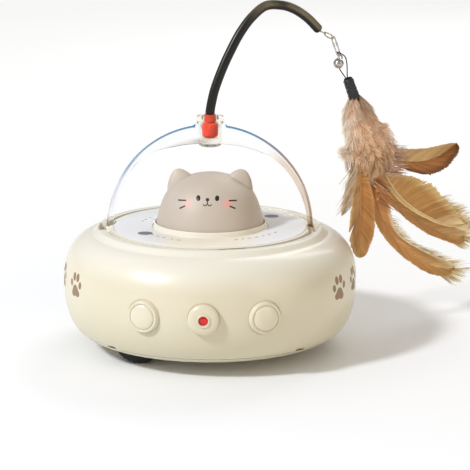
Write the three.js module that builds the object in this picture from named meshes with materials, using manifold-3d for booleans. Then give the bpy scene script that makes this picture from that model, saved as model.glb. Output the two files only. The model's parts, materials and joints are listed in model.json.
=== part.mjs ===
// A battery cat toy: a low round body on wheels, a fixed cat head, and a turntable that carries a clear
// arch, from which a bent wand swings a feather lure round the body.
// Millimetres, +Z up, front towards -Y.
// The origin is the centre of the flat underside, on the turntable's axis.
import * as THREE from 'three';
import { mergeVertices } from 'three/addons/utils/BufferGeometryUtils.js';
import Module from 'manifold-3d';

const wasm = await Module();
wasm.setup();

// Driving dimensions: lengths in millimetres, angles in degrees.
const gap = 0.3;
const overrun = 2;
const wall = 2.2;
const ringSegments = 40;
const roundSegments = 18;
const smallSegments = 10;
const headSegments = 32;

const body = {
  radius: 95,
  footRadius: 76,
  shoulderRadius: 70,
  widestLow: 33,
  widestHigh: 35,
  shoulderHeight: 66,
  deckHeight: 69,
  lowerSquareness: 0.9,
  upperSquareness: 0.85,
  seamHeight: 4,
  rimRadius: 71.8,
  rimFlat: 1.6,
  rimRound: 0.7,
  valleyRadius: 77,
};
const groove = { outerRadius: 67.8, floorHeight: 60 };
const pocket = { radial: 6.4, length: 21, depth: 6.2, ledge: 2.2, azimuth: -6, slit: 4 };
const edgeSlot = { azimuth: 42.3, length: 6.5, height: 1.6, depth: 7 };

const turntable = {
  radius: 64.8,
  thickness: 2.8,
  skirt: 4,
  skirtRadius: 60,
  edgeRound: 0.7,
  recessInner: 37.4,
  recessOuter: 62.6,
  recessDepth: 1,
  hubRadius: 13,
  hubDrop: 1.5,
};
const collar = { innerRadius: 35.4, outerRadius: 36.6, height: 3.3, round: 0.5 };
const deckRing = { thickness: 0.9 };
const pryNotch = { azimuth: -75.3, sweep: 16, depth: 1.1, height: 1.6 };

const head = {
  radius: 34.8,
  height: 31.8,
  clearance: 1,
  skirt: 2.3,
  taper: 0.23,
  squareness: 4,
  ledge: 1.6,
};
const ear = { radius: 10.6, height: 13.6, thicknessShare: 0.5, spread: 17.4, lift: 21, lean: 17 };
const post = { radius: 8, flangeRadius: 14, flangeThickness: 3, screwRadius: 11, plate: 2, running: 0.6 };
const thrustRing = { radius: 12.6, thickness: 0.8 };

const gear = { module: 2, ringTeeth: 36, pinionTeeth: 9, width: 4.7, ringBore: 30, backlash: 0.4,
  addendumShare: 0.8, dedendumShare: 1.15, pressureAngle: 24 };
const spinMotor = { radius: 12, height: 23, shaftRadius: 1.5, shaftDepth: 6 };

const arch = {
  radius: 66.6,
  centreHeight: 67.4,
  depth: 20,
  footThickness: 3.4,
  crownThickness: 9.5,
  crownSpread: 50,
  chamfer: 0.9,
  steps: 32,
  footDrop: 3.4,
  toeReach: 2.4,
  collarRadius: 10.8,
  collarHeight: 1.6,
};
const socket = {
  radius: 7.4,
  bore: 5.6,
  flangeRadius: 8.6,
  flangeThickness: 5.1,
  length: 19.9,
  floor: 5.2,
  round: 2,
};
const plug = {
  radius: 4.85,
  bulb: 9.6,
  neckRadius: 3.4,
  capRadius: 3.9,
  capHeight: 4.6,
  height: 15,
  rodDepth: 9,
};

const rod = {
  inPlane: 6.1,
  across: 5.4,
  spigotRadius: 2.1,
  reachInset: 20,
  rise: 68.1,
  tipBore: 0.9,
  tipDepth: 3,
  steps: 26,
};
const lureAzimuth = 24;

const control = { height: 31.5, azimuth: 22.9, rearInset: 15, shoulderInset: 4.4 };
const bezel = { radius: 10.5, slope: 1.3, bore: 8.2, rearRadius: 11.5, rearBore: 9.2, proud: 2.2, lip: 0.6 };
const button = { dome: 3, proud: 1.7, flange: 1.5, flangeRadius: 8.9, stemRadius: 2.5, travel: 1.2 };
const pressSwitch = { width: 6, depth: 3.5, plungerRadius: 1.7, plunger: 1, board: 21, boardThickness: 1.6 };
const boss = {
  height: 32,
  radius: 9.8,
  proud: 4.6,
  nose: 4.2,
  bore: 3,
  flangeRadius: 12,
  flange: 2,
  flangeInset: 6.5,
};
const lens = { radius: 2.7, thickness: 1.8, dome: 0.7, sunk: 0.8 };
const laser = { length: 14 };

const wheel = {
  axleX: -42.5,
  axleHeight: 7.5,
  tyreRadius: 16.5,
  rimRadius: 12,
  width: 9,
  outerFace: 53,
  axleRadius: 2,
  axleInto: 5,
  hubInset: 0.8,
  dish: 2.2,
  dishRadius: 9.5,
  treads: 12,
  treadDepth: 0.8,
};
const wheelSlot = { halfLength: 16.4, side: 1.5 };
const gearmotor = { width: 18, height: 16, box: 11.5, canRadius: 7.4, can: 16, clearance: 2.4 };
const caster = {
  centreInset: 41,
  wheelRadius: 8,
  wheelWidth: 7,
  trail: 5,
  axleHeight: -1,
  axleRadius: 1.2,
  armThickness: 2,
  armWidth: 7,
  plateRadius: 8,
  plateThickness: 2,
  stemRadius: 3,
  stemLength: 10,
  opening: 15,
  wellWall: 2,
  wellHeight: 14,
};

const battery = { radius: 9.1, length: 65, x: 5, ribY: 22, ribWidth: 2, ribHeight: 4 };
const mainBoard = {
  width: 68,
  depth: 60,
  thickness: 1.6,
  x: 10,
  height: 27,
  bossInset: 4,
  bossRadius: 3,
  pegRadius: 1.1,
};
const chip = { size: 12, thickness: 1.6, x: 18, y: 8 };
const charge = {
  width: 9,
  height: 3.3,
  skin: 0.4,
  depth: 7,
  faceInset: 5.5,
  boardWidth: 18,
  boardDepth: 20,
  boardThickness: 1.2,
  boardHeight: 10.4,
  openingWidth: 11,
  openingHeight: 5.4,
  postInset: 23,
  postX: 6,
  postRadius: 2.5,
};
const screw = { shank: 1.5, head: 2.9, headHeight: 1.5, ringInset: 8, azimuth: 28, length: 14, seat: 5 };
const smallScrew = { shank: 1.1, head: 2.3, headHeight: 1.4, length: 6 };

// The lure hangs in the upright plane of the wand: s is the distance from the turntable's axis.
const tipCord = { wire: 0.5, halfLength: 3.6, halfWidth: 2, twist: 60 };
const cordWire = 0.42;
const clasp = { wire: 0.45, length: 13.6, halfWidth: 1.15 };
const bell = { radius: 3.4, wallShare: 0.82, slot: 0.8, eyeRadius: 1.5, eyeWire: 0.35, pellet: 1, sides: 8 };
const lure = { width: 100, drop: 160 };
const ferrule = { radius: 3.4, length: 14.5, ribs: 4, ribDepth: 0.45, mouthRadius: 2.2, mouthDepth: 3.5 };
const tuft = { steps: 7, sides: 12 };
const quill = { radius: 0.8 };

// Shared values worked out from the driving dimensions.
const degree = Math.PI / 180;
const deckTop = body.deckHeight;
const discBottom = deckTop - turntable.thickness;
const wellFloor = groove.floorHeight;
const wellUnderside = wellFloor - wall;
const postBase = wellFloor + gap;
const flangeTop = postBase + post.flangeThickness;
const crownTop = arch.centreHeight + arch.radius;
const crownUnderside = crownTop - arch.crownThickness;
const socketTop = crownTop + arch.collarHeight + gap + socket.flangeThickness + gap;
const gearCentres = (gear.module * (gear.ringTeeth + gear.pinionTeeth)) / 2;
const plugBottom = socketTop - socket.length + socket.floor + gap;
const plugTop = plugBottom + plug.height;
const controlRear = body.radius - control.rearInset;
const controlShoulder = body.radius - control.shoulderInset;
const bossFlangeFront = body.radius - boss.flangeInset;
const chargeFace = body.radius - charge.faceInset;
const chargePostY = body.radius - charge.postInset;
const screwRing = body.footRadius - screw.ringInset;
const casterX = body.radius - caster.centreInset;
const rodReach = body.radius - rod.reachInset;

// Colours of the finished pieces.
const finish = {
  cream: { color: 0xefe8d2, roughness: 0.32, metalness: 0 },
  deck: { color: 0xd8dade, roughness: 0.5, metalness: 0 },
  greige: { color: 0xcdc2b4, roughness: 0.45, metalness: 0 },
  clear: { color: 0xf2f7fb, roughness: 0.05, metalness: 0, transparent: true, opacity: 0.3 },
  red: { color: 0xe1502f, roughness: 0.5, metalness: 0 },
  lens: { color: 0xd8151c, roughness: 0.1, metalness: 0 },
  black: { color: 0x232120, roughness: 0.5, metalness: 0 },
  rubber: { color: 0x1b1b1c, roughness: 0.8, metalness: 0 },
  hub: { color: 0x3a3a3c, roughness: 0.5, metalness: 0 },
  white: { color: 0xe9e7e0, roughness: 0.5, metalness: 0 },
  steel: { color: 0xb9bcc0, roughness: 0.35, metalness: 1 },
  silver: { color: 0xd3d6da, roughness: 0.2, metalness: 1 },
  board: { color: 0x1f6b45, roughness: 0.5, metalness: 0 },
  battery: { color: 0x3d6fb0, roughness: 0.4, metalness: 0 },
  cord: { color: 0xe6dcc6, roughness: 0.9, metalness: 0 },
  down: { color: 0xd9b792, roughness: 0.95, metalness: 0 },
  feather: { color: 0xb98a4e, roughness: 0.85, metalness: 0 },
};
const materials = Object.fromEntries(
  Object.entries(finish).map(([name, look]) => [name, new THREE.MeshStandardMaterial(look)]),
);

const toy = new THREE.Group();
const lureGroup = new THREE.Group();
lureGroup.rotation.z = lureAzimuth * degree;
toy.add(lureGroup);

// Returns the geometry as one merged closed mesh with its faces pointing out.
function closedMesh(geometry) {
  const bare = geometry.index ? geometry.toNonIndexed() : geometry.clone();
  for (const name of Object.keys(bare.attributes)) {
    if (name !== 'position') bare.deleteAttribute(name);
  }
  const merged = mergeVertices(bare, 1e-4);
  const places = merged.attributes.position;
  const index = merged.index.array;
  const triangles = [];
  const a = new THREE.Vector3();
  const b = new THREE.Vector3();
  const c = new THREE.Vector3();
  let volume = 0;
  for (let i = 0; i < index.length; i += 3) {
    const [p, q, r] = [index[i], index[i + 1], index[i + 2]];
    if (p === q || q === r || r === p) continue;
    a.fromBufferAttribute(places, p);
    b.fromBufferAttribute(places, q);
    c.fromBufferAttribute(places, r);
    volume += a.dot(b.cross(c));
    triangles.push(p, q, r);
  }
  if (volume < 0) triangles.reverse();
  merged.setIndex(triangles);
  return merged;
}

function solid(geometry) {
  const mesh = closedMesh(geometry);
  return new wasm.Manifold(
    new wasm.Mesh({
      numProp: 3,
      vertProperties: new Float32Array(mesh.attributes.position.array),
      triVerts: new Uint32Array(mesh.index.array),
    }),
  );
}

function geometryOf(manifold) {
  const mesh = manifold.getMesh();
  const geometry = new THREE.BufferGeometry();
  geometry.setAttribute('position', new THREE.BufferAttribute(new Float32Array(mesh.vertProperties), 3));
  geometry.setIndex(Array.from(mesh.triVerts));
  return geometry;
}

function joined(...geometries) {
  return geometryOf(geometries.map(solid).reduce((sum, next) => sum.add(next)));
}

function cut(geometry, ...cutters) {
  return geometryOf(cutters.map(solid).reduce((rest, next) => rest.subtract(next), solid(geometry)));
}

function piece(name, geometry, look, parent = toy) {
  const closed = closedMesh(geometry);
  closed.computeVertexNormals();
  const mesh = new THREE.Mesh(closed, materials[look]);
  mesh.name = name;
  parent.add(mesh);
  return mesh;
}

// A solid of revolution about +Z from [radius, height] points.
function turned(points, segments = roundSegments) {
  const outline = points.map(([radius, height]) => new THREE.Vector2(radius, height));
  outline.push(outline[0].clone());
  return new THREE.LatheGeometry(outline, segments).rotateX(90 * degree);
}

// The same about an axis that points forwards, from [radius, distance in front of the axis] points.
function turnedForward(points, segments = roundSegments) {
  return turned(points, segments).rotateX(90 * degree);
}

function cylinder(radius, low, high, segments = smallSegments) {
  return turned([[0, low], [radius, low], [radius, high], [0, high]], segments);
}

function box(width, depth, height, x, y, low) {
  return new THREE.BoxGeometry(width, depth, height).translate(x, y, low + height / 2);
}

// A sector of a ring between two radii and two azimuths in degrees from +X, standing from low to high.
function sector(inner, outer, from, to, low, high) {
  const shape = new THREE.Shape();
  shape.absarc(0, 0, outer, from * degree, to * degree, false);
  shape.absarc(0, 0, inner, to * degree, from * degree, true);
  shape.closePath();
  const options = { depth: high - low, bevelEnabled: false, curveSegments: roundSegments / 4 };
  return new THREE.ExtrudeGeometry(shape, options).translate(0, 0, low);
}

// A closed skin through rings of equal point count; a loop joins its last ring to its first.
function skin(rings, isLoop = false) {
  const count = rings[0].length;
  const places = rings.flat().flatMap((point) => point.toArray());
  const index = [];
  const spans = isLoop ? rings.length : rings.length - 1;
  for (let i = 0; i < spans; i++) {
    const here = i * count;
    const next = ((i + 1) % rings.length) * count;
    for (let j = 0; j < count; j++) {
      const k = (j + 1) % count;
      index.push(here + j, here + k, next + k, here + j, next + k, next + j);
    }
  }
  if (!isLoop) {
    const last = (rings.length - 1) * count;
    for (let j = 1; j < count - 1; j++) {
      index.push(0, j + 1, j);
      index.push(last, last + j, last + j + 1);
    }
  }
  const geometry = new THREE.BufferGeometry();
  geometry.setAttribute('position', new THREE.Float32BufferAttribute(places, 3));
  geometry.setIndex(index);
  return geometry;
}

// A round wire of given radius along a closed curve.
function wireLoop(curve, radius, steps, sides) {
  const frames = curve.computeFrenetFrames(steps, true);
  const rings = [];
  for (let i = 0; i < steps; i++) {
    const centre = curve.getPointAt(i / steps);
    rings.push(circleRing(centre, frames.normals[i], frames.binormals[i], radius, radius, sides));
  }
  return skin(rings, true);
}

function circleRing(centre, across, up, halfAcross, halfUp, sides) {
  const ring = [];
  for (let j = 0; j < sides; j++) {
    const angle = (2 * Math.PI * j) / sides;
    ring.push(
      centre.clone()
        .addScaledVector(across, halfAcross * Math.cos(angle))
        .addScaledVector(up, halfUp * Math.sin(angle)),
    );
  }
  return ring;
}

// An oval loop of half length and half width about a centre, along two unit directions.
class Oval extends THREE.Curve {
  constructor(centre, along, across, halfLength, halfWidth) {
    super();
    Object.assign(this, { centre, along, across, halfLength, halfWidth });
  }

  getPoint(t, target = new THREE.Vector3()) {
    const angle = 2 * Math.PI * t;
    return target.copy(this.centre)
      .addScaledVector(this.along, this.halfLength * Math.cos(angle))
      .addScaledVector(this.across, this.halfWidth * Math.sin(angle));
  }
}

// A long loop with straight sides and round ends.
class Stadium extends Oval {
  getPoint(t, target = new THREE.Vector3()) {
    const straight = this.halfLength - this.halfWidth;
    const arc = Math.PI * this.halfWidth;
    const total = 2 * arc + 4 * straight;
    let walked = (t % 1) * total;
    let along = 0;
    let across = 0;
    if (walked < arc) {
      along = straight + this.halfWidth * Math.sin(walked / this.halfWidth);
      across = -this.halfWidth * Math.cos(walked / this.halfWidth);
    } else if (walked < arc + 2 * straight) {
      along = straight - (walked - arc);
      across = this.halfWidth;
    } else if (walked < 2 * arc + 2 * straight) {
      walked -= arc + 2 * straight;
      along = -straight - this.halfWidth * Math.sin(walked / this.halfWidth);
      across = this.halfWidth * Math.cos(walked / this.halfWidth);
    } else {
      along = -straight + (walked - 2 * arc - 2 * straight);
      across = -this.halfWidth;
    }
    return target.copy(this.centre)
      .addScaledVector(this.along, along)
      .addScaledVector(this.across, across);
  }
}

// A piece that looks forwards is turned about Z to its azimuth, counted from the front towards +X.
function facing(geometry, azimuth) {
  return geometry.rotateZ(azimuth * degree);
}

// The body's outer curve, moved inwards by inset: a lower and an upper quarter of a squared ellipse.
function lowerCurve(inset, share) {
  const angle = share * Math.PI / 2;
  const reach = body.radius - body.footRadius - inset;
  const rise = body.widestLow - inset;
  return [
    body.footRadius + reach * Math.sin(angle) ** body.lowerSquareness,
    body.widestLow - rise * Math.cos(angle) ** body.lowerSquareness,
  ];
}

function upperCurve(inset, share) {
  const angle = share * Math.PI / 2;
  const reach = body.radius - body.shoulderRadius - inset;
  const rise = body.shoulderHeight - body.widestHigh - inset;
  return [
    body.shoulderRadius + reach * Math.cos(angle) ** body.upperSquareness,
    body.widestHigh + rise * Math.sin(angle) ** body.upperSquareness,
  ];
}

// The radius of the lower curve at a height, found by halving the share of its quarter.
function lowerRadius(inset, height) {
  let low = 0;
  let high = 1;
  for (let i = 0; i < 40; i++) {
    const middle = (low + high) / 2;
    if (lowerCurve(inset, middle)[1] < height) low = middle;
    else high = middle;
  }
  return lowerCurve(inset, low)[0];
}

function polar(radius, azimuth) {
  return [radius * Math.cos(azimuth * degree), radius * Math.sin(azimuth * degree)];
}

const screwPlaces = [screw.azimuth, 180 - screw.azimuth, 180 + screw.azimuth, -screw.azimuth]
  .map((azimuth) => polar(screwRing, azimuth));
const postScrewPlaces = [0, 180].map((azimuth) => polar(post.screwRadius, azimuth));
const boardCorners = [-1, 1].flatMap((side) => [-1, 1].map((end) => [
  mainBoard.x + side * (mainBoard.width / 2 - mainBoard.bossInset),
  end * (mainBoard.depth / 2 - mainBoard.bossInset),
]));

// Base pan with its wheel openings, caster well, screw seats and the posts that carry boards and battery.
function lowerShell() {
  const steps = 6;
  const outerEdge = lowerRadius(0, body.seamHeight);
  const outline = [[0, 0], [body.footRadius, 0]];
  for (let i = 1; i < steps; i++) {
    const height = body.seamHeight * (i / steps) ** 2;
    outline.push([lowerRadius(0, height), height]);
  }
  outline.push([outerEdge, body.seamHeight], [outerEdge - wall, body.seamHeight]);
  outline.push([outerEdge - 2 * wall, wall], [0, wall]);
  const parts = [turned(outline, ringSegments)];
  const cutters = [];

  for (const [x, y] of screwPlaces) {
    parts.push(cylinder(screw.head + wall, 0, screw.seat).translate(x, y, 0));
    cutters.push(cylinder(screw.head + gap, -overrun, screw.seat - wall).translate(x, y, 0));
    cutters.push(cylinder(screw.shank + gap, 0, screw.seat + overrun).translate(x, y, 0));
  }
  for (const [x, y] of boardCorners) {
    parts.push(cylinder(mainBoard.bossRadius, wall / 2, mainBoard.height - gap).translate(x, y, 0));
    parts.push(cylinder(mainBoard.pegRadius, wall, mainBoard.height + 2 * mainBoard.thickness)
      .translate(x, y, 0));
  }
  for (const side of [-1, 1]) {
    const ribLength = 2 * (battery.radius + wall);
    const ribHeight = battery.ribHeight + wall / 2;
    parts.push(box(ribLength, battery.ribWidth, ribHeight, battery.x, side * battery.ribY, wall / 2));
    parts.push(cylinder(charge.postRadius, wall / 2, charge.boardHeight - gap)
      .translate(side * charge.postX, chargePostY, 0));
  }
  cutters.push(cylinder(battery.radius + gap, -battery.length / 2, battery.length / 2)
    .rotateX(90 * degree).translate(battery.x, 0, wall + gap + battery.radius));

  // Cradle walls on each side of the gearmotors, and the openings for the two drive wheels.
  const cradleX = gearmotor.width / 2 + gap + wall / 2;
  const slotInner = wheel.outerFace - wheel.width - wheelSlot.side;
  const slotWidth = wheel.width + 2 * wheelSlot.side;
  for (const end of [-1, 1]) {
    for (const side of [-1, 1]) {
      parts.push(box(wall, gearmotor.box, gearmotor.height / 2, wheel.axleX + side * cradleX,
        end * (slotInner - gearmotor.clearance + wheelSlot.side - gearmotor.box / 2), wall / 2));
    }
    cutters.push(box(2 * wheelSlot.halfLength, slotWidth, wall + 2 * overrun, wheel.axleX,
      end * (slotInner + slotWidth / 2), -overrun));
  }

  // Caster well: a round wall with a roof and a tube for the swivel stem.
  const well = caster.opening + caster.wellWall;
  const roof = caster.wellHeight + caster.wellWall;
  const stemTop = caster.wellHeight + caster.stemLength;
  const tube = caster.stemRadius + gap + caster.wellWall;
  parts.push(turned([[0, 0], [well, 0], [well, roof], [tube, roof], [tube, stemTop], [0, stemTop]])
    .translate(casterX, 0, 0));
  cutters.push(cylinder(caster.opening, -overrun, caster.wellHeight, roundSegments)
    .translate(casterX, 0, 0));
  cutters.push(cylinder(caster.stemRadius + gap, caster.wellHeight - overrun, stemTop + overrun)
    .translate(casterX, 0, 0));
  return cut(joined(...parts), ...cutters);
}

// The rounded housing with its rim, groove, turntable well, pockets and control openings.
function upperShell() {
  const lowerSteps = 5;
  const upperSteps = 6;
  const bottom = body.seamHeight + gap;
  const outer = [[lowerRadius(0, bottom), bottom]];
  const inner = [[lowerRadius(wall, bottom), bottom]];
  for (let i = 1; i <= lowerSteps; i++) {
    const share = i / lowerSteps;
    const from = lowerCurve(0, share);
    if (from[1] > bottom) outer.push(from);
    const inside = lowerCurve(wall, share);
    if (inside[1] > bottom && i % 2 === 0) inner.push(inside);
  }
  let valley = upperCurve(0, 0);
  for (let i = 0; i <= upperSteps; i++) {
    const from = upperCurve(0, i / upperSteps);
    if (from[0] > body.valleyRadius) {
      outer.push(from);
      valley = from;
    }
    const inside = upperCurve(wall, i / upperSteps);
    if (inside[0] > groove.outerRadius + wall && i % 2 === 0) inner.push(inside);
  }
  const rimSteps = 3;
  for (let i = 1; i <= rimSteps; i++) {
    const share = i / rimSteps;
    const smooth = share * share * (3 - 2 * share);
    outer.push([
      valley[0] + (body.rimRadius - valley[0]) * share,
      valley[1] + (deckTop - valley[1]) * smooth,
    ]);
  }
  outer.push([body.rimRadius - body.rimFlat, deckTop], [groove.outerRadius + body.rimRound, deckTop]);
  outer.push([groove.outerRadius, deckTop - body.rimRound], [groove.outerRadius, wellFloor]);
  outer.push([0, wellFloor], [0, wellUnderside], [groove.outerRadius + wall, wellUnderside]);
  const parts = [turned([...outer, ...inner.reverse()], ringSegments)];
  const cutters = [cylinder(post.radius / 2, wellUnderside - overrun, wellFloor + overrun)];

  for (const [x, y] of screwPlaces) {
    parts.push(cylinder(screw.shank + gap + wall, screw.seat + gap, wellUnderside + wall / 2)
      .translate(x, y, 0));
    cutters.push(cylinder(screw.shank + gap, screw.seat - overrun, screw.seat + screw.length)
      .translate(x, y, 0));
  }
  for (const [x, y] of postScrewPlaces) {
    cutters.push(cylinder(smallScrew.shank + gap, wellUnderside - overrun, wellFloor + overrun)
      .translate(x, y, 0));
  }
  cutters.push(cylinder(spinMotor.shaftRadius + 2 * gap, wellUnderside - overrun, wellFloor + overrun)
    .translate(0, gearCentres, 0));

  // A pocket stands beside each foot of the arch, with a slit through the rim into the groove.
  const pocketInner = groove.outerRadius + wall;
  const pocketOuter = pocketInner + pocket.radial;
  const pocketFloor = deckTop - pocket.depth;
  const half = (pocket.length / pocketOuter / 2) / degree;
  const thick = (wall / pocketOuter) / degree;
  const slitHalf = (pocket.slit / groove.outerRadius / 2) / degree;
  for (const middle of [pocket.azimuth, 180 - pocket.azimuth]) {
    const blockHalf = half + thick;
    const top = deckTop + overrun;
    parts.push(sector(groove.outerRadius + gap, pocketOuter + wall, middle - blockHalf, middle + blockHalf,
      pocketFloor - wall, body.shoulderHeight - wall));
    cutters.push(sector(pocketInner, pocketOuter, middle - half, middle + half, pocketFloor, top));
    cutters.push(sector(groove.outerRadius - overrun, pocketInner + gap, middle - slitHalf,
      middle + slitHalf, pocketFloor + pocket.ledge, top));
  }

  for (const side of [-1, 1]) {
    const hole = turnedForward([
      [0, controlRear], [bezel.radius + gap, controlRear],
      [bezel.radius + gap, body.radius + overrun], [0, body.radius + overrun],
    ]).translate(0, 0, control.height);
    cutters.push(facing(hole, side * control.azimuth));
    cutters.push(facing(box(edgeSlot.length, edgeSlot.depth, edgeSlot.height + overrun, 0,
      -lowerRadius(0, bottom), bottom - overrun), side * edgeSlot.azimuth));
  }
  cutters.push(turnedForward([
    [0, controlRear], [boss.radius + gap, controlRear],
    [boss.radius + gap, body.radius + overrun], [0, body.radius + overrun],
  ]).translate(0, 0, boss.height));
  const openingLow = chargeAxis() - charge.openingHeight / 2;
  const openingDepth = charge.faceInset + 2 * wall + overrun;
  cutters.push(box(charge.openingWidth, openingDepth, charge.openingHeight, 0,
    (body.radius + chargeFace) / 2, openingLow));
  return cut(joined(...parts), ...cutters);
}

function chargeAxis() {
  return charge.boardHeight + charge.boardThickness + gap + charge.height / 2;
}

// The turning disc: hub, skirt, recess for the deck ring and collar round the head.
function turntableDisc() {
  const t = turntable;
  const hubBottom = discBottom - t.hubDrop;
  const bore = post.radius + post.running;
  const floor = deckTop - t.recessDepth;
  const top = deckTop + collar.height;
  const disc = turned([
    [bore, hubBottom], [t.hubRadius, hubBottom], [t.hubRadius, discBottom],
    [t.skirtRadius, discBottom], [t.skirtRadius + t.hubDrop, deckTop - t.skirt],
    [t.radius, deckTop - t.skirt], [t.radius, deckTop - t.edgeRound], [t.radius - t.edgeRound, deckTop],
    [t.recessOuter, deckTop], [t.recessOuter, floor], [t.recessInner, floor], [t.recessInner, deckTop],
    [collar.outerRadius + collar.round, deckTop], [collar.outerRadius, deckTop + collar.round],
    [collar.outerRadius, top - collar.round], [collar.outerRadius - collar.round, top],
    [collar.innerRadius + collar.round / 2, top], [collar.innerRadius, top - collar.round],
    [collar.innerRadius, deckTop], [bore, deckTop],
  ], ringSegments);
  const notchWidth = arch.depth + 2 * gap;
  const notchInner = arch.radius - arch.footThickness - gap;
  const cutters = [-1, 1].map((side) => box(t.radius - notchInner + overrun, notchWidth,
    t.skirt + 2 * overrun, side * (notchInner + (t.radius - notchInner + overrun) / 2), 0,
    deckTop - t.skirt - overrun));
  const toeInner = notchInner - arch.toeReach;
  for (const side of [-1, 1]) {
    cutters.push(box(arch.toeReach + overrun, notchWidth, discBottom - deckTop + t.skirt + overrun,
      side * (toeInner + (arch.toeReach + overrun) / 2), 0, deckTop - t.skirt - overrun));
  }
  const halfSweep = pryNotch.sweep / 2;
  cutters.push(sector(t.radius - pryNotch.depth, t.radius + overrun, pryNotch.azimuth - halfSweep,
    pryNotch.azimuth + halfSweep, deckTop - pryNotch.height, deckTop + overrun));
  return cut(disc, ...cutters);
}

// Hollow domed cover with two ears; a ledge inside rests on the head plate.
function catHead() {
  const base = deckTop + head.clearance;
  const domeBase = base + head.skirt;
  const steps = 9;
  const outline = [[head.radius, base]];
  const inner = [];
  for (let i = 0; i <= steps; i++) {
    const share = Math.sin((i / steps) * Math.PI / 2);
    const narrowing = (1 - head.taper * share) * Math.sqrt(Math.max(0, 1 - share ** head.squareness));
    outline.push([head.radius * narrowing, domeBase + head.height * share]);
    if (i % 2 === 1) {
      inner.push([(head.radius - wall - head.ledge) * narrowing, domeBase + (head.height - wall) * share]);
    }
  }
  const seat = postPlateTop() + gap;
  const hollow = inner.filter(([, height]) => height > seat + head.ledge);
  const narrow = head.radius - wall - head.ledge;
  const dome = turned([...outline, ...hollow.reverse(), [narrow, seat], [head.radius - wall, seat],
    [head.radius - wall, base]], headSegments);
  const earOutline = [];
  const earSteps = 6;
  for (let i = 0; i <= earSteps; i++) {
    const share = i / earSteps;
    earOutline.push([ear.radius * Math.sqrt(1 - share * share) * (1 - share / 4), ear.height * share]);
  }
  const ears = [-1, 1].map((side) => turned([[0, 0], ...earOutline], smallSegments)
    .scale(1, ear.thicknessShare, 1)
    .rotateY(side * ear.lean * degree)
    .translate(side * ear.spread, 0, domeBase + ear.lift));
  const earless = turned([...outline, [0, base]], headSegments);
  const solidEars = ears.map((shape) => solid(shape).subtract(solid(earless)));
  const shell = solidEars.reduce((sum, next) => sum.add(next), solid(dome));
  return geometryOf(shell);
}

function postPlateTop() {
  return deckTop + head.clearance + gap + post.plate;
}

// A spur gear about +Z, its flanks straight outside the pitch circle and radial inside it.
// One of its teeth is centred on +X.
function spurGear(teeth, bore, low, high) {
  const pitch = (gear.module * teeth) / 2;
  const tip = pitch + gear.module * gear.addendumShare;
  const root = pitch - gear.module * gear.dedendumShare;
  const pitchHalf = (Math.PI * gear.module) / 4 - gear.backlash / 2;
  const flank = Math.tan(gear.pressureAngle * degree);
  const half = (radius) => (pitchHalf - Math.max(0, radius - pitch) * flank) / Math.max(pitch, radius);
  const shape = new THREE.Shape();
  for (let i = 0; i < teeth; i++) {
    const middle = (2 * Math.PI * i) / teeth;
    for (const [radius, side] of [[root, -1], [pitch, -1], [tip, -1], [tip, 1], [pitch, 1], [root, 1]]) {
      const angle = middle + side * half(radius);
      const place = [radius * Math.cos(angle), radius * Math.sin(angle)];
      if (i === 0 && radius === root && side === -1) shape.moveTo(...place);
      else shape.lineTo(...place);
    }
  }
  shape.closePath();
  if (bore > 0) {
    const hole = new THREE.Path();
    hole.absarc(0, 0, bore, 0, 2 * Math.PI, true);
    shape.holes.push(hole);
  }
  const options = { depth: high - low, bevelEnabled: false, curveSegments: roundSegments };
  return new THREE.ExtrudeGeometry(shape, options).translate(0, 0, low);
}

// The arch's thickness at an angle from its crown: slim legs that swell smoothly towards the crown.
function archThickness(fromCrown) {
  const swell = Math.max(0, 1 - (fromCrown / (arch.crownSpread * degree)) ** 2);
  return arch.footThickness + (arch.crownThickness - arch.footThickness) * swell * swell;
}

function clearArch() {
  const rings = [];
  const halfDepth = arch.depth / 2;
  const corner = arch.chamfer;
  for (let i = 0; i <= arch.steps; i++) {
    const angle = (Math.PI * i) / arch.steps;
    const outward = new THREE.Vector3(Math.cos(angle), 0, Math.sin(angle));
    const thickness = archThickness(Math.abs(angle - Math.PI / 2));
    const outer = arch.radius;
    const inner = arch.radius - thickness;
    const section = [
      [outer - corner, -halfDepth], [outer, corner - halfDepth], [outer, halfDepth - corner],
      [outer - corner, halfDepth], [inner + corner, halfDepth], [inner, halfDepth - corner],
      [inner, corner - halfDepth], [inner + corner, -halfDepth],
    ];
    rings.push(section.map(([radius, y]) => outward.clone().multiplyScalar(radius)
      .add(new THREE.Vector3(0, y, arch.centreHeight))));
  }
  const parts = [skin(rings)];
  const footBottom = arch.centreHeight - arch.footDrop;
  const toeTop = discBottom - gap;
  for (const side of [-1, 1]) {
    const foot = arch.radius - arch.footThickness / 2;
    parts.push(box(arch.footThickness, arch.depth, arch.footDrop + arch.chamfer, side * foot, 0,
      footBottom));
    parts.push(box(arch.toeReach + arch.chamfer, arch.depth, toeTop - footBottom,
      side * (arch.radius - arch.footThickness - (arch.toeReach - arch.chamfer) / 2), 0, footBottom));
  }
  const collarTop = crownTop + arch.collarHeight;
  const collarBottom = crownTop - arch.crownThickness / 2;
  parts.push(turned([
    [0, collarBottom], [arch.collarRadius, collarBottom], [arch.collarRadius, collarTop - arch.chamfer],
    [arch.collarRadius - arch.chamfer, collarTop], [0, collarTop],
  ]));
  const hole = cylinder(socket.radius + gap, crownUnderside - overrun, collarTop + overrun, roundSegments);
  return cut(joined(...parts), hole);
}

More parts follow.
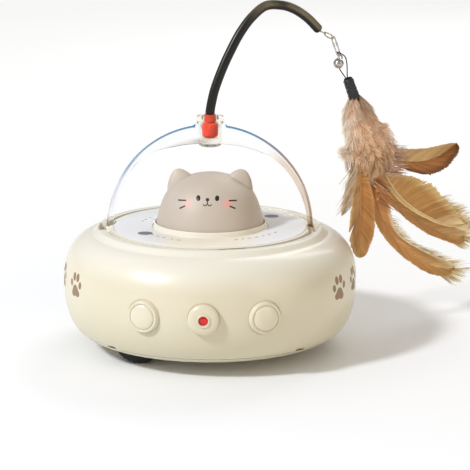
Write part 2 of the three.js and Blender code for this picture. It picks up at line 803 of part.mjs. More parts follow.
function archSocket() {
  const bottom = socketTop - socket.length;
  const flangeBottom = socketTop - socket.flangeThickness;
  const inside = bottom + socket.floor;
  const edge = arch.chamfer / 2;
  return turned([
    [0, bottom], [socket.radius - socket.round, bottom], [socket.radius, bottom + socket.round],
    [socket.radius, flangeBottom], [socket.flangeRadius - edge, flangeBottom],
    [socket.flangeRadius, flangeBottom + edge], [socket.flangeRadius, socketTop - edge],
    [socket.flangeRadius - edge, socketTop], [socket.bore, socketTop],
    [socket.bore, inside + socket.round / 2], [socket.bore - socket.round / 2, inside], [0, inside],
  ]);
}

function wandPlug() {
  const top = plugTop;
  const capBottom = top - plug.capHeight;
  const bulbTop = plugBottom + plug.bulb;
  const edge = plug.radius / 3;
  const bore = rod.spigotRadius + gap;
  return turned([
    [0, plugBottom], [plug.radius - edge, plugBottom], [plug.radius, plugBottom + edge],
    [plug.radius, bulbTop - edge / 2], [plug.neckRadius, bulbTop], [plug.neckRadius, capBottom],
    [plug.capRadius, capBottom + edge / 2], [plug.capRadius, top - edge / 2],
    [plug.capRadius - edge / 4, top],
    [bore, top], [bore, top - plug.rodDepth], [0, top - plug.rodDepth],
  ]);
}

// The wand's route as shares of its reach and rise above the socket, from the plug to the tip.
const rodRouteShares = [
  [0.037, 0.22], [0.112, 0.43], [0.184, 0.588], [0.278, 0.763], [0.388, 0.907],
  [0.511, 1], [0.661, 0.999], [0.773, 0.96], [0.896, 0.874], [1, 0.765],
];

function rodCurve() {
  const points = [new THREE.Vector3(0, 0, plugTop + gap), new THREE.Vector3(0, 0, plugTop + rod.across / 3)];
  for (const [out, up] of rodRouteShares) {
    points.push(new THREE.Vector3(out * rodReach, 0, socketTop + up * rod.rise));
  }
  return new THREE.CatmullRomCurve3(points, false, 'centripetal');
}

function wandRod() {
  const curve = rodCurve();
  const shape = new THREE.Shape();
  shape.absellipse(0, 0, rod.inPlane / 2, rod.across / 2, 0, 2 * Math.PI, false, 0);
  const options = { steps: rod.steps, extrudePath: curve, bevelEnabled: false, curveSegments: 5 };
  const tube = new THREE.ExtrudeGeometry(shape, options);
  const tip = curve.getPointAt(1);
  const direction = curve.getTangentAt(1);
  const round = new THREE.SphereGeometry(rod.across / 2, smallSegments, smallSegments / 2)
    .translate(tip.x, tip.y, tip.z);
  const bore = cylinder(rod.tipBore, -rod.tipDepth, rod.across)
    .applyQuaternion(new THREE.Quaternion().setFromUnitVectors(new THREE.Vector3(0, 0, 1), direction))
    .translate(tip.x, tip.y, tip.z);
  const spigot = cylinder(rod.spigotRadius, plugTop - plug.rodDepth + gap, plugTop + rod.across / 2);
  return cut(joined(tube, round, spigot), bore);
}

// Places in the lure's plane: [out, up] as shares of the lure's width and drop from the rod's tip.
function lurePoint(out, up, side = 0) {
  const tip = rodCurve().getPointAt(1);
  return new THREE.Vector3(tip.x + out * lure.width, side, tip.z + up * lure.drop);
}

const tipDirection = rodCurve().getTangentAt(1);
const cordEnd = lurePoint(0.111, -0.043);

// The cream cord starts in the rod's tip and ends in a small twisted loop.
function tipCordLoop() {
  const tip = rodCurve().getPointAt(1);
  const start = tip.clone().addScaledVector(tipDirection, gap - rod.tipDepth);
  const along = cordEnd.clone().sub(tip).normalize();
  const centre = cordEnd.clone().addScaledVector(along, -tipCord.halfLength);
  const normal = new THREE.Vector3(0, 1, 0);
  const inPlane = normal.clone().cross(along).normalize();
  const across = inPlane.multiplyScalar(Math.cos(tipCord.twist * degree))
    .addScaledVector(normal, Math.sin(tipCord.twist * degree));
  const oval = new Oval(centre, along, across, tipCord.halfLength, tipCord.halfWidth);
  const loop = wireLoop(oval, tipCord.wire, 18, 6);
  const stem = new THREE.CatmullRomCurve3([
    start,
    tip.clone().addScaledVector(tipDirection, rod.across / 2),
    centre.clone().addScaledVector(along, -tipCord.halfLength),
  ], false, 'centripetal');
  const shape = new THREE.Shape();
  shape.absarc(0, 0, tipCord.wire, 0, 2 * Math.PI);
  const options = { steps: 6, extrudePath: stem, bevelEnabled: false, curveSegments: 4 };
  return joined(loop, new THREE.ExtrudeGeometry(shape, options));
}

// The clasp hangs in the cord's loop and leans slightly outwards.
const claspDirection = new THREE.Vector3(0.369, 0, -0.929).normalize();
const claspTop = cordEnd.clone().addScaledVector(claspDirection, -(clasp.wire + tipCord.wire + 1.4 * gap));

function claspRing() {
  const across = new THREE.Vector3(0, 1, 0).cross(claspDirection).normalize();
  const centre = claspTop.clone().addScaledVector(claspDirection, clasp.length / 2);
  const loop = new Stadium(centre, claspDirection, across, clasp.length / 2, clasp.halfWidth);
  return wireLoop(loop, clasp.wire, 28, 6);
}

const claspFoot = claspTop.clone().addScaledVector(claspDirection, clasp.length);
const eyeCentre = claspFoot.clone()
  .addScaledVector(claspDirection, -(clasp.wire + bell.eyeWire + gap))
  .add(new THREE.Vector3(0, 0, -bell.eyeRadius));
const bellDrop = bell.eyeRadius + bell.radius - bell.eyeWire;
const bellCentre = eyeCentre.clone().add(new THREE.Vector3(0, 0, -bellDrop));

// A hollow bell with a slot underneath and an eyelet on top that goes round the clasp's foot.
function bellShell() {
  const outer = new THREE.SphereGeometry(bell.radius, 2 * bell.sides, bell.sides).rotateX(90 * degree);
  const hollow = bell.radius * bell.wallShare;
  const inner = new THREE.SphereGeometry(hollow, smallSegments, bell.sides).rotateX(90 * degree);
  const slot = box(2 * bell.radius + overrun, bell.slot, bell.radius, 0, 0, -bell.radius - bell.slot);
  const eye = new THREE.TorusGeometry(bell.eyeRadius, bell.eyeWire, 6, 2 * bell.sides).rotateY(90 * degree)
    .translate(0, 0, bell.radius + bell.eyeRadius - bell.eyeWire);
  return cut(joined(outer, eye), inner, slot).translate(...bellCentre.toArray());
}

// The black cord's closed route from the clasp's foot down each side of the bell to the ferrule's mouth.
const ferruleTop = lurePoint(0.22, -0.209);
const ferruleDirection = new THREE.Vector3(0.365, 0, -0.931).normalize();

function cordRoute() {
  const top = claspFoot.clone()
    .addScaledVector(claspDirection, -(clasp.wire + 2 * bell.eyeWire + cordWire + 3 * gap));
  const seat = ferruleTop.clone()
    .addScaledVector(ferruleDirection, ferrule.mouthDepth - cordWire - gap);
  const clear = bell.radius + cordWire + 2 * gap;
  const beside = (out, side, up) => new THREE.Vector3(bellCentre.x + out, side, bellCentre.z + up);
  const points = [
    top,
    new THREE.Vector3(top.x + cordWire, -2.4 * cordWire - clasp.halfWidth, top.z - cordWire),
    beside(clear, -clear / 2, clear),
    beside(1.35 * clear, -clear / 2.4, 0),
    seat.clone().add(new THREE.Vector3(-0.4 * ferrule.mouthDepth, -cordWire, ferrule.mouthDepth)),
    seat,
    seat.clone().add(new THREE.Vector3(-0.7 * ferrule.mouthDepth, cordWire, 0.9 * ferrule.mouthDepth)),
    beside(clear / 3, clear, -clear / 2),
    beside(0, clear, clear),
    new THREE.Vector3(top.x - cordWire, 2.4 * cordWire + clasp.halfWidth, top.z - cordWire),
  ];
  return new THREE.CatmullRomCurve3(points, true, 'centripetal');
}

// Turns a shape made about +Z so that +Z runs up along the ferrule, with its origin at the ferrule's top.
function alongFerrule(geometry) {
  const up = ferruleDirection.clone().negate();
  return geometry
    .applyQuaternion(new THREE.Quaternion().setFromUnitVectors(new THREE.Vector3(0, 0, 1), up))
    .translate(...ferruleTop.toArray());
}

function ribbedFerrule() {
  const f = ferrule;
  const outline = [[0, -f.length], [f.radius - f.ribDepth, -f.length]];
  for (let i = 0; i < f.ribs; i++) {
    const low = -f.length + (f.length * (i + 0.25)) / f.ribs;
    const high = -f.length + (f.length * (i + 0.75)) / f.ribs;
    outline.push([f.radius - f.ribDepth, low - f.ribDepth], [f.radius, low]);
    outline.push([f.radius, high], [f.radius - f.ribDepth, high + f.ribDepth]);
  }
  outline.push([f.radius - 2 * f.ribDepth, 0], [f.mouthRadius, 0]);
  outline.push([f.mouthRadius, -f.mouthDepth], [0, -f.mouthDepth]);
  return alongFerrule(turned(outline, smallSegments));
}

// The tuft's centre line and half widths, from the ferrule's foot down, as shares of the lure's size.
const tuftShares = [
  { out: 0.25, up: -0.268, half: 0.038 },
  { out: 0.268, up: -0.292, half: 0.072 },
  { out: 0.292, up: -0.33, half: 0.105 },
  { out: 0.335, up: -0.409, half: 0.15 },
  { out: 0.372, up: -0.471, half: 0.178 },
  { out: 0.362, up: -0.545, half: 0.155 },
  { out: 0.338, up: -0.59, half: 0.08 },
];
const tuftDepthShare = 0.72;

// Each feather: root, middle points and tip of its shaft in shares of the lure's size, and in shares of the
// lure's width the widths of its inner and outer vane, its place across the plane and how far its tip curls.
const featherShares = {
  feather_upper: {
    shaft: [[0.37, -0.48], [0.47, -0.515], [0.6, -0.545], [0.8, -0.568], [0.96, -0.558], [1.065, -0.53]],
    innerShare: 0.11, outerShare: 0.075, sideShare: 0, curlShare: 0.03,
  },
  feather_middle: {
    shaft: [[0.38, -0.53], [0.5, -0.61], [0.65, -0.72], [0.81, -0.805], [0.97, -0.852], [1.11, -0.866]],
    innerShare: 0.06, outerShare: 0.15, sideShare: -0.045, curlShare: -0.03,
  },
  feather_low: {
    shaft: [[0.36, -0.535], [0.46, -0.63], [0.62, -0.76], [0.8, -0.85], [0.98, -0.915], [1.14, -0.948]],
    innerShare: 0.055, outerShare: 0.075, sideShare: 0.03, curlShare: 0.05,
  },
  feather_curved: {
    shaft: [
      [0.36, -0.54], [0.43, -0.69], [0.51, -0.81], [0.62, -0.91], [0.77, -0.985], [0.92, -1.03],
      [1.07, -1.05],
    ],
    innerShare: 0.085, outerShare: 0.08, sideShare: 0.075, curlShare: 0.03,
  },
  feather_down: {
    shaft: [[0.33, -0.53], [0.335, -0.64], [0.345, -0.77], [0.34, -0.89], [0.325, -0.965]],
    innerShare: 0.1, outerShare: 0.1, sideShare: -0.085, curlShare: -0.02,
  },
  feather_small: {
    shaft: [[0.3, -0.49], [0.27, -0.58], [0.235, -0.68], [0.197, -0.775]],
    innerShare: 0.05, outerShare: 0.055, sideShare: 0.03, curlShare: 0.03,
  },
};
const feather = { thickness: 0.9, steps: 14, quillShare: 0.16 };

// A feather set to one side of the plane also stands this share of that offset farther out and lower.
const fanShares = { out: 0.4, down: 0.27 };

function featherCurve(shares) {
  const last = shares.shaft.length - 1;
  const points = shares.shaft.map(([out, up], i) => {
    const side = (shares.sideShare + shares.curlShare * (i / last) ** 2) * lure.width;
    return lurePoint(out, up, side).add(new THREE.Vector3(fanShares.out * side, 0, -fanShares.down * side));
  });
  return new THREE.CatmullRomCurve3(points, false, 'centripetal');
}

// A thin closed vane swept along the shaft; it starts as a round quill and ends in a blunt tip.
// Grown by the gap, it is the clearance that the tuft keeps round it.
function featherVane(shares, grow = 0) {
  const curve = featherCurve(shares);
  const normal = new THREE.Vector3(0, 1, 0);
  const rings = [];
  for (let i = 0; i <= feather.steps; i++) {
    const t = i / feather.steps;
    const tangent = curve.getTangentAt(t);
    const centre = curve.getPointAt(t).addScaledVector(tangent, i === 0 ? -grow : 0);
    const across = tangent.clone().cross(normal).normalize();
    const up = across.clone().cross(tangent).normalize();
    const along = Math.max(0, (t - feather.quillShare) / (1 - feather.quillShare));
    const fullness = Math.sin(Math.PI * Math.min(1, along * 0.94) ** 0.75) ** 0.6;
    const inner = Math.max(quill.radius, shares.innerShare * lure.width * fullness) + grow;
    const outer = Math.max(quill.radius, shares.outerShare * lure.width * fullness) + grow;
    const shaft = Math.max(quill.radius * (1 - along), feather.thickness / 2);
    const thick = (along > 0 ? shaft : quill.radius) + grow;
    const edge = (along > 0 ? feather.thickness / 4 : quill.radius / 2) + grow;
    rings.push([
      [-inner, -edge], [0, -thick], [outer, -edge], [outer, edge], [0, thick], [-inner, edge],
    ].map(([side, height]) => centre.clone().addScaledVector(across, side).addScaledVector(up, height)));
  }
  return skin(rings);
}

// The tuft is a swelling cone of down; the quills and the ferrule's foot sit in clearance holes in it.
function downTuft() {
  const normal = new THREE.Vector3(0, 1, 0);
  const middle = tuftShares.map(({ out, up }) => lurePoint(out, up));
  const line = new THREE.CatmullRomCurve3(middle, false, 'centripetal');
  const rings = [];
  const last = tuftShares.length - 1;
  for (let i = 0; i <= tuft.steps; i++) {
    const t = i / tuft.steps;
    const place = t * last;
    const low = Math.min(last - 1, Math.floor(place));
    const mix = place - low;
    const half = (tuftShares[low].half * (1 - mix) + tuftShares[low + 1].half * mix) * lure.width;
    const across = line.getTangent(t).cross(normal).normalize();
    rings.push(circleRing(line.getPoint(t), across, normal, half, half * tuftDepthShare, tuft.sides));
  }
  const cutters = Object.values(featherShares).map((shares) => featherVane(shares, gap));
  const foot = alongFerrule(cylinder(ferrule.radius + gap, -ferrule.length - gap, overrun));
  return cut(skin(rings), foot, ...cutters);
}

// Bezel, cap, switch and board of one push button, all on an axis that points forwards.
function bezelRing() {
  const front = body.radius + bezel.proud;
  const b = bezel;
  return turnedForward([
    [b.rearBore, controlRear], [b.rearRadius, controlRear], [b.rearRadius, controlShoulder],
    [b.radius, controlShoulder], [b.radius, body.radius], [b.radius - b.slope, front - b.lip / 2],
    [b.radius - b.slope - b.lip / 2, front], [b.bore + b.lip / 4, front - b.lip / 4],
    [b.bore, front - b.lip], [b.bore, controlShoulder - 2 * gap], [b.rearBore, controlShoulder - 2 * gap],
  ]);
}

const capRadius = bezel.bore - gap;
const plungerFront = controlRear + pressSwitch.depth + pressSwitch.plunger;

function buttonCap() {
  const top = body.radius + bezel.proud + button.proud;
  const flangeFront = controlShoulder - 3 * gap;
  const stemEnd = plungerFront + button.travel + gap;
  const outline = [
    [0, stemEnd], [button.stemRadius, stemEnd], [button.stemRadius, flangeFront - button.flange],
    [button.flangeRadius, flangeFront - button.flange], [button.flangeRadius, flangeFront],
    [capRadius, flangeFront],
  ];
  const steps = 5;
  for (let i = 0; i <= steps; i++) {
    const angle = (i / steps) * Math.PI / 2;
    outline.push([capRadius * Math.cos(angle), top - button.dome + button.dome * Math.sin(angle)]);
  }
  return turnedForward(outline);
}

function switchBody() {
  const s = pressSwitch;
  const base = new THREE.BoxGeometry(s.width, s.depth, s.width)
    .translate(0, -controlRear - s.depth / 2, 0);
  const tip = turnedForward([
    [0, controlRear + s.depth / 2], [s.plungerRadius, controlRear + s.depth / 2],
    [s.plungerRadius, plungerFront], [0, plungerFront],
  ], smallSegments);
  return joined(base, tip);
}

function switchBoard() {
  const s = pressSwitch;
  return new THREE.BoxGeometry(s.board, s.boardThickness, s.board)
    .translate(0, -controlRear + gap + s.boardThickness / 2, 0);
}

// A rounded cone that stands out of the front and holds the red lens and the laser behind it.
function laserBoss() {
  const front = body.radius + boss.proud;
  const steps = 4;
  const outline = [
    [boss.bore, bossFlangeFront - boss.flange], [boss.flangeRadius, bossFlangeFront - boss.flange],
    [boss.flangeRadius, bossFlangeFront], [boss.radius, bossFlangeFront],
  ];
  for (let i = 0; i <= steps; i++) {
    const share = i / steps;
    const round = Math.sqrt(1 - (1 - share) ** 2);
    outline.push([
      boss.radius - (boss.radius - boss.nose) * share ** 1.6,
      body.radius + (boss.proud - lens.sunk) * round,
    ]);
  }
  outline.push([boss.nose - lens.sunk / 2, front], [boss.bore, front - lens.sunk]);
  return turnedForward(outline);
}

function laserLens() {
  const front = body.radius + boss.proud - lens.sunk - gap;
  return turnedForward([
    [0, front - lens.thickness], [lens.radius, front - lens.thickness], [lens.radius, front - lens.dome],
    [lens.radius * 0.7, front - lens.dome * 0.3], [0, front],
  ], smallSegments);
}

function laserModule() {
  const front = body.radius + boss.proud - lens.sunk - lens.thickness - 2 * gap;
  return turnedForward([
    [0, front - laser.length], [lens.radius, front - laser.length], [lens.radius, front], [0, front],
  ], smallSegments);
}

// Drive wheel pieces are made for the +Y side with the axle along Y; end = -1 mirrors their place.
function acrossAxle(points, segments) {
  return turned(points, segments).rotateX(-90 * degree).translate(wheel.axleX, 0, wheel.axleHeight);
}

function tyreRing() {
  const inner = wheel.outerFace - wheel.width;
  const round = wheel.treadDepth;
  const ring = acrossAxle([
    [wheel.rimRadius + gap, inner], [wheel.tyreRadius - round, inner], [wheel.tyreRadius, inner + round],
    [wheel.tyreRadius, wheel.outerFace - round], [wheel.tyreRadius - round, wheel.outerFace],
    [wheel.rimRadius + gap, wheel.outerFace],
  ], 2 * wheel.treads);
  return ring;
}

function wheelHub() {
  const inner = wheel.outerFace - wheel.width + wheel.hubInset;
  const outer = wheel.outerFace - wheel.hubInset;
  const axleEnd = gearboxFace() - wheel.axleInto;
  return acrossAxle([
    [0, axleEnd], [wheel.axleRadius, axleEnd], [wheel.axleRadius, inner], [wheel.rimRadius, inner],
    [wheel.rimRadius, outer], [wheel.dishRadius, outer], [wheel.dishRadius - wheel.dish, outer - wheel.dish],
    [2 * wheel.axleRadius, outer - wheel.dish], [2 * wheel.axleRadius, outer], [0, outer],
  ], roundSegments);
}

function gearboxFace() {
  return wheel.outerFace - wheel.width - gearmotor.clearance;
}

function wheelGearmotor() {
  const g = gearmotor;
  const low = wall + gap;
  const face = gearboxFace();
  const can = acrossAxle([[0, face - g.box - g.can], [g.canRadius, face - g.box - g.can],
    [g.canRadius, face - g.box / 2], [0, face - g.box / 2]], roundSegments)
    .translate(0, 0, low + g.height / 2 - wheel.axleHeight);
  const gearbox = box(g.width, g.box, g.height, wheel.axleX, face - g.box / 2, low);
  const boreEnd = face - wheel.axleInto - gap;
  const boreRadius = wheel.axleRadius + gap;
  const bore = acrossAxle([
    [0, boreEnd], [boreRadius, boreEnd], [boreRadius, face + overrun], [0, face + overrun],
  ], smallSegments);
  return cut(joined(gearbox, can), bore);
}

function casterFork() {
  const c = caster;
  const plateTop = c.wellHeight - gap;
  const plateBottom = plateTop - c.plateThickness;
  const armBottom = c.axleHeight - c.armWidth / 2;
  const axleX = casterX - c.trail;
  const parts = [
    cylinder(c.plateRadius, plateBottom, plateTop, roundSegments).translate(casterX, 0, 0),
    cylinder(c.stemRadius, plateBottom, c.wellHeight + c.stemLength).translate(casterX, 0, 0),
  ];
  const armY = c.wheelWidth / 2 + gap + c.armThickness / 2;
  for (const side of [-1, 1]) {
    const shape = new THREE.Shape();
    shape.moveTo(axleX - c.armWidth / 2, armBottom);
    shape.lineTo(axleX + c.armWidth / 2, armBottom);
    shape.lineTo(casterX + c.armWidth / 2, plateBottom + c.plateThickness / 2);
    shape.lineTo(casterX - c.armWidth / 2, plateBottom + c.plateThickness / 2);
    shape.closePath();
    parts.push(new THREE.ExtrudeGeometry(shape, { depth: c.armThickness, bevelEnabled: false })
      .rotateX(90 * degree).translate(0, side * armY + c.armThickness / 2, 0));
  }
  return cut(joined(...parts), acrossCaster(c.axleRadius + gap, armY + c.armThickness));
}

function acrossCaster(radius, half) {
  return cylinder(radius, -half, half).rotateX(90 * degree)
    .translate(casterX - caster.trail, 0, caster.axleHeight);
}

function casterWheel() {
  const c = caster;
  const half = c.wheelWidth / 2;
  const round = c.axleRadius;
  return turned([
    [c.axleRadius + gap, -half], [c.wheelRadius - round, -half], [c.wheelRadius, round - half],
    [c.wheelRadius, half - round], [c.wheelRadius - round, half], [c.axleRadius + gap, half],
  ]).rotateX(90 * degree).translate(casterX - c.trail, 0, c.axleHeight);
}

function chargeSocket() {
  const shell = (inset, from, to) => new THREE.BoxGeometry(
    charge.width - 2 * inset, to - from, charge.height - 2 * inset,
  ).translate(0, (from + to) / 2, chargeAxis());
  const back = chargeFace - charge.depth;
  return cut(
    shell(0, back, chargeFace),
    shell(charge.skin, back + charge.skin, chargeFace + overrun),
  );
}

function screwShape(size, length, headLow) {
  return turned([
    [0, headLow], [size.head, headLow], [size.head, headLow + size.headHeight],
    [size.shank, headLow + size.headHeight], [size.shank, headLow + length], [0, headLow + length],
  ], smallSegments);
}

// Base, housing and head.
piece('lower_shell', lowerShell(), 'cream');
piece('upper_shell', upperShell(), 'cream');
piece('cat_head', catHead(), 'greige');
piece('head_post', cut(
  turned([
    [0, postBase], [post.flangeRadius, postBase], [post.flangeRadius, flangeTop], [post.radius, flangeTop],
    [post.radius, deckTop + head.clearance - gap], [0, deckTop + head.clearance - gap],
  ]),
  cylinder(smallScrew.shank + gap, deckTop - smallScrew.length, deckTop + overrun),
  ...postScrewPlaces.map(([x, y]) =>
    cylinder(smallScrew.shank + gap, postBase - overrun, flangeTop - 2 * gap).translate(x, y, 0)),
), 'white');
piece('head_plate', turned([
  [smallScrew.shank + gap, deckTop + head.clearance], [head.radius - wall - gap, deckTop + head.clearance],
  [head.radius - wall - gap, postPlateTop()], [smallScrew.shank + gap, postPlateTop()],
], headSegments), 'white');
piece('head_plate_screw', screwShape(smallScrew, smallScrew.length, 0).rotateX(180 * degree)
  .translate(0, 0, postPlateTop() + gap + smallScrew.headHeight), 'steel');
postScrewPlaces.forEach(([x, y], i) => {
  const low = wellUnderside - gap - smallScrew.headHeight;
  const length = flangeTop - 3 * gap - low;
  piece(`post_screw_${i + 1}`, screwShape(smallScrew, length, low).translate(x, y, 0), 'steel');
});
screwPlaces.forEach(([x, y], i) => {
  const low = screw.seat - wall - gap - screw.headHeight;
  piece(`base_screw_${i + 1}`, screwShape(screw, screw.length, low).translate(x, y, 0), 'steel');
});

// Front controls.
for (const [name, side] of [['left', -1], ['right', 1]]) {
  const place = (geometry) => facing(geometry.translate(0, 0, control.height), side * control.azimuth);
  piece(`${name}_button_bezel`, place(bezelRing()), 'cream');
  piece(`${name}_button_cap`, place(buttonCap()), 'cream');
  piece(`${name}_press_switch`, place(switchBody()), 'black');
  piece(`${name}_switch_board`, place(switchBoard()), 'board');
}
piece('laser_boss', laserBoss().translate(0, 0, boss.height), 'cream');
piece('laser_lens', laserLens().translate(0, 0, boss.height), 'lens');
piece('laser_module', laserModule().translate(0, 0, boss.height), 'steel');

// Electronics.
piece('main_board', cut(
  box(mainBoard.width, mainBoard.depth, mainBoard.thickness, mainBoard.x, 0, mainBoard.height),
  ...boardCorners.map(([x, y]) => cylinder(mainBoard.pegRadius + gap, mainBoard.height - overrun,
    mainBoard.height + mainBoard.thickness + overrun).translate(x, y, 0)),
), 'board');
piece('control_chip', box(chip.size, chip.size, chip.thickness, chip.x, chip.y,
  mainBoard.height + mainBoard.thickness + gap), 'black');
piece('battery', cylinder(battery.radius, -battery.length / 2, battery.length / 2, roundSegments)
  .rotateX(90 * degree).translate(battery.x, 0, wall + 2 * gap + battery.radius), 'battery');
piece('charge_socket', chargeSocket(), 'steel');
piece('charge_board', box(charge.boardWidth, charge.boardDepth, charge.boardThickness, 0,
  chargeFace - charge.depth / 2 - charge.boardDepth / 2, charge.boardHeight), 'board');

// Spin drive.
const gearLow = wellFloor + 4 * gap;
piece('spin_motor', cut(
  cylinder(spinMotor.radius, wellUnderside - gap - spinMotor.height, wellUnderside - gap, roundSegments),
  cylinder(spinMotor.shaftRadius + gap, wellUnderside - spinMotor.shaftDepth - 2 * gap, wellFloor),
).translate(0, gearCentres, 0), 'steel');
piece('spin_pinion', joined(
  spurGear(gear.pinionTeeth, 0, gearLow, gearLow + gear.width)
    .rotateZ((180 / gear.pinionTeeth - 90) * degree),
  cylinder(spinMotor.shaftRadius, wellUnderside - spinMotor.shaftDepth, gearLow + gear.width / 2),
).translate(0, gearCentres, 0), 'white');
piece('ring_gear', spurGear(gear.ringTeeth, gear.ringBore, gearLow, gearLow + gear.width)
  .rotateZ(90 * degree), 'white');

// Turntable and what stands on it.
const thrustLow = flangeTop + gap;
const thrustTop = thrustLow + thrustRing.thickness;
piece('thrust_ring', turned([
  [post.radius + gap, thrustLow], [thrustRing.radius, thrustLow],
  [thrustRing.radius, thrustTop], [post.radius + gap, thrustTop],
]), 'white');
piece('turntable', turntableDisc(), 'cream');
piece('deck_ring', turned([
  [turntable.recessInner + gap, deckTop - turntable.recessDepth + gap],
  [turntable.recessOuter - gap, deckTop - turntable.recessDepth + gap],
  [turntable.recessOuter - gap, deckTop - turntable.recessDepth + gap + deckRing.thickness],
  [turntable.recessInner + gap, deckTop - turntable.recessDepth + gap + deckRing.thickness],
], ringSegments), 'deck');
piece('clear_arch', clearArch(), 'clear');
piece('arch_socket', archSocket(), 'clear');

// Wand and lure.
piece('wand_plug', wandPlug(), 'red', lureGroup);
piece('wand_rod', wandRod(), 'black', lureGroup);
piece('tip_cord', tipCordLoop(), 'cord', lureGroup);
piece('clasp', claspRing(), 'silver', lureGroup);
piece('bell', bellShell(), 'silver', lureGroup);
const pelletHeight = bellCentre.z - bell.radius * bell.wallShare + bell.pellet + gap;
piece('bell_pellet', new THREE.SphereGeometry(bell.pellet, smallSegments / 2, 6)
  .translate(bellCentre.x, bellCentre.y, pelletHeight), 'steel', lureGroup);
piece('cord_loop', wireLoop(cordRoute(), cordWire, 40, 6), 'black', lureGroup);
piece('ferrule', ribbedFerrule(), 'rubber', lureGroup);
piece('down_tuft', downTuft(), 'down', lureGroup);
for (const [name, shares] of Object.entries(featherShares)) {
  piece(name, featherVane(shares), 'feather', lureGroup);
}

// Wheels.
for (const [name, end] of [['rear', 1], ['front', -1]]) {
  const mirror = (geometry) => closedMesh(geometry.scale(1, end, 1));
  piece(`${name}_tyre`, mirror(tyreRing()), 'rubber');
  piece(`${name}_wheel_hub`, mirror(wheelHub()), 'hub');
  piece(`${name}_gearmotor`, mirror(wheelGearmotor()), 'steel');
}
piece('caster_fork', casterFork(), 'hub');
piece('caster_wheel', casterWheel(), 'rubber');
const casterHalf = caster.wheelWidth / 2 + gap + caster.armThickness;
piece('caster_axle', acrossCaster(caster.axleRadius, casterHalf), 'steel');

export default toy;
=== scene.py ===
"""Looks of the rotating feather cat toy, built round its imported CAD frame.

Lengths are in millimetres until a mesh is made, and angles are in degrees unless a name says otherwise.
"""

import json
import math

import bmesh
import bpy
import numpy as np
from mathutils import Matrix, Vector

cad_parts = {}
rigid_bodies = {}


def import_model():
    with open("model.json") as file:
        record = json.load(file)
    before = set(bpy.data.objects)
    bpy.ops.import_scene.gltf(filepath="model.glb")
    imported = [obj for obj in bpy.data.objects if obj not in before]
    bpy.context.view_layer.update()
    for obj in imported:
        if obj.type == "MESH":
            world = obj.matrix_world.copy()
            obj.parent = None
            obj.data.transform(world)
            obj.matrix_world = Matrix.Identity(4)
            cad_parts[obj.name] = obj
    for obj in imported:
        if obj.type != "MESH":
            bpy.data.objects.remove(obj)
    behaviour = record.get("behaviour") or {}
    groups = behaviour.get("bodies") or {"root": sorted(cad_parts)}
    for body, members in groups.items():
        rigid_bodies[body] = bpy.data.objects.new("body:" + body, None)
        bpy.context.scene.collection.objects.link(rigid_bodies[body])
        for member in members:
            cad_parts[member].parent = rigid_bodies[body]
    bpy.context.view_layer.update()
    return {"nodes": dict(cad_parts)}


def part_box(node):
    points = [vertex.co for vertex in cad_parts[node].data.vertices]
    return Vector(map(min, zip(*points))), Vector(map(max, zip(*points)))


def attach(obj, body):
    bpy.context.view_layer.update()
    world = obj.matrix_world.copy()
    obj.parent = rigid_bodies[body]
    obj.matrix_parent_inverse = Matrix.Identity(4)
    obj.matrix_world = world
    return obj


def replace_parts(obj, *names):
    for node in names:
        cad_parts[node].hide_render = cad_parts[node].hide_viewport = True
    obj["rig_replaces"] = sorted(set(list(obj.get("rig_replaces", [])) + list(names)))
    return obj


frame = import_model()

MM = 0.001
TAU = 2 * math.pi
EX, EY, EZ = np.eye(3)


# Camera, floor and lights

TARGET = Vector((0, 0, 0.038))
CAMERA_DISTANCE = 1.2
CAMERA_AZIMUTH, CAMERA_ELEVATION = math.radians(2.4), math.radians(14)
CAMERA_FIELD = math.radians(14.57)
CAMERA_SHIFT_X, CAMERA_SHIFT_Y = 0.053, 0.0787


def add_camera():
    """The photograph's view: from a little to the right and above, through a long lens."""
    data = bpy.data.cameras.new("camera")
    data.angle = CAMERA_FIELD
    data.shift_x, data.shift_y = CAMERA_SHIFT_X, CAMERA_SHIFT_Y
    data.clip_start = 0.05
    camera = bpy.data.objects.new("camera", data)
    back = Vector((
        math.sin(CAMERA_AZIMUTH) * math.cos(CAMERA_ELEVATION),
        -math.cos(CAMERA_AZIMUTH) * math.cos(CAMERA_ELEVATION),
        math.sin(CAMERA_ELEVATION),
    ))
    camera.location = TARGET + CAMERA_DISTANCE * back
    camera.rotation_mode = "QUATERNION"
    camera.rotation_quaternion = (-back).to_track_quat("-Z", "Y")
    bpy.context.scene.collection.objects.link(camera)
    bpy.context.scene.camera = camera


def add_light(name, place, size, power, colour):
    """A square soft light at place, in metres, that faces the object."""
    data = bpy.data.lights.new(name, "AREA")
    data.size, data.energy, data.color = size, power, colour
    light = bpy.data.objects.new(name, data)
    light.location = place
    light.rotation_mode = "QUATERNION"
    light.rotation_quaternion = (TARGET - Vector(place)).to_track_quat("-Z", "Y")
    bpy.context.scene.collection.objects.link(light)


add_camera()
bpy.context.scene.view_settings.view_transform = "Standard"
add_light("key", (-1.2, -0.95, 1.3), 0.24, 29.5, (0.925, 0.95, 1.0))
add_light("fill", (1.5, -1.0, 0.6), 1.2, 5.6, (1.0, 0.743, 0.4))
add_light("rim", (0.6, 1.4, 1.2), 1.0, 9, (1.0, 0.99, 0.97))


# Node helpers

def rgb(red, green, blue):
    """An 8-bit screen colour as a linear one."""
    share = np.array([red, green, blue], float) / 255
    linear = np.where(share <= 0.04045, share / 12.92, ((share + 0.055) / 1.055) ** 2.4)
    return tuple(float(x) for x in linear)


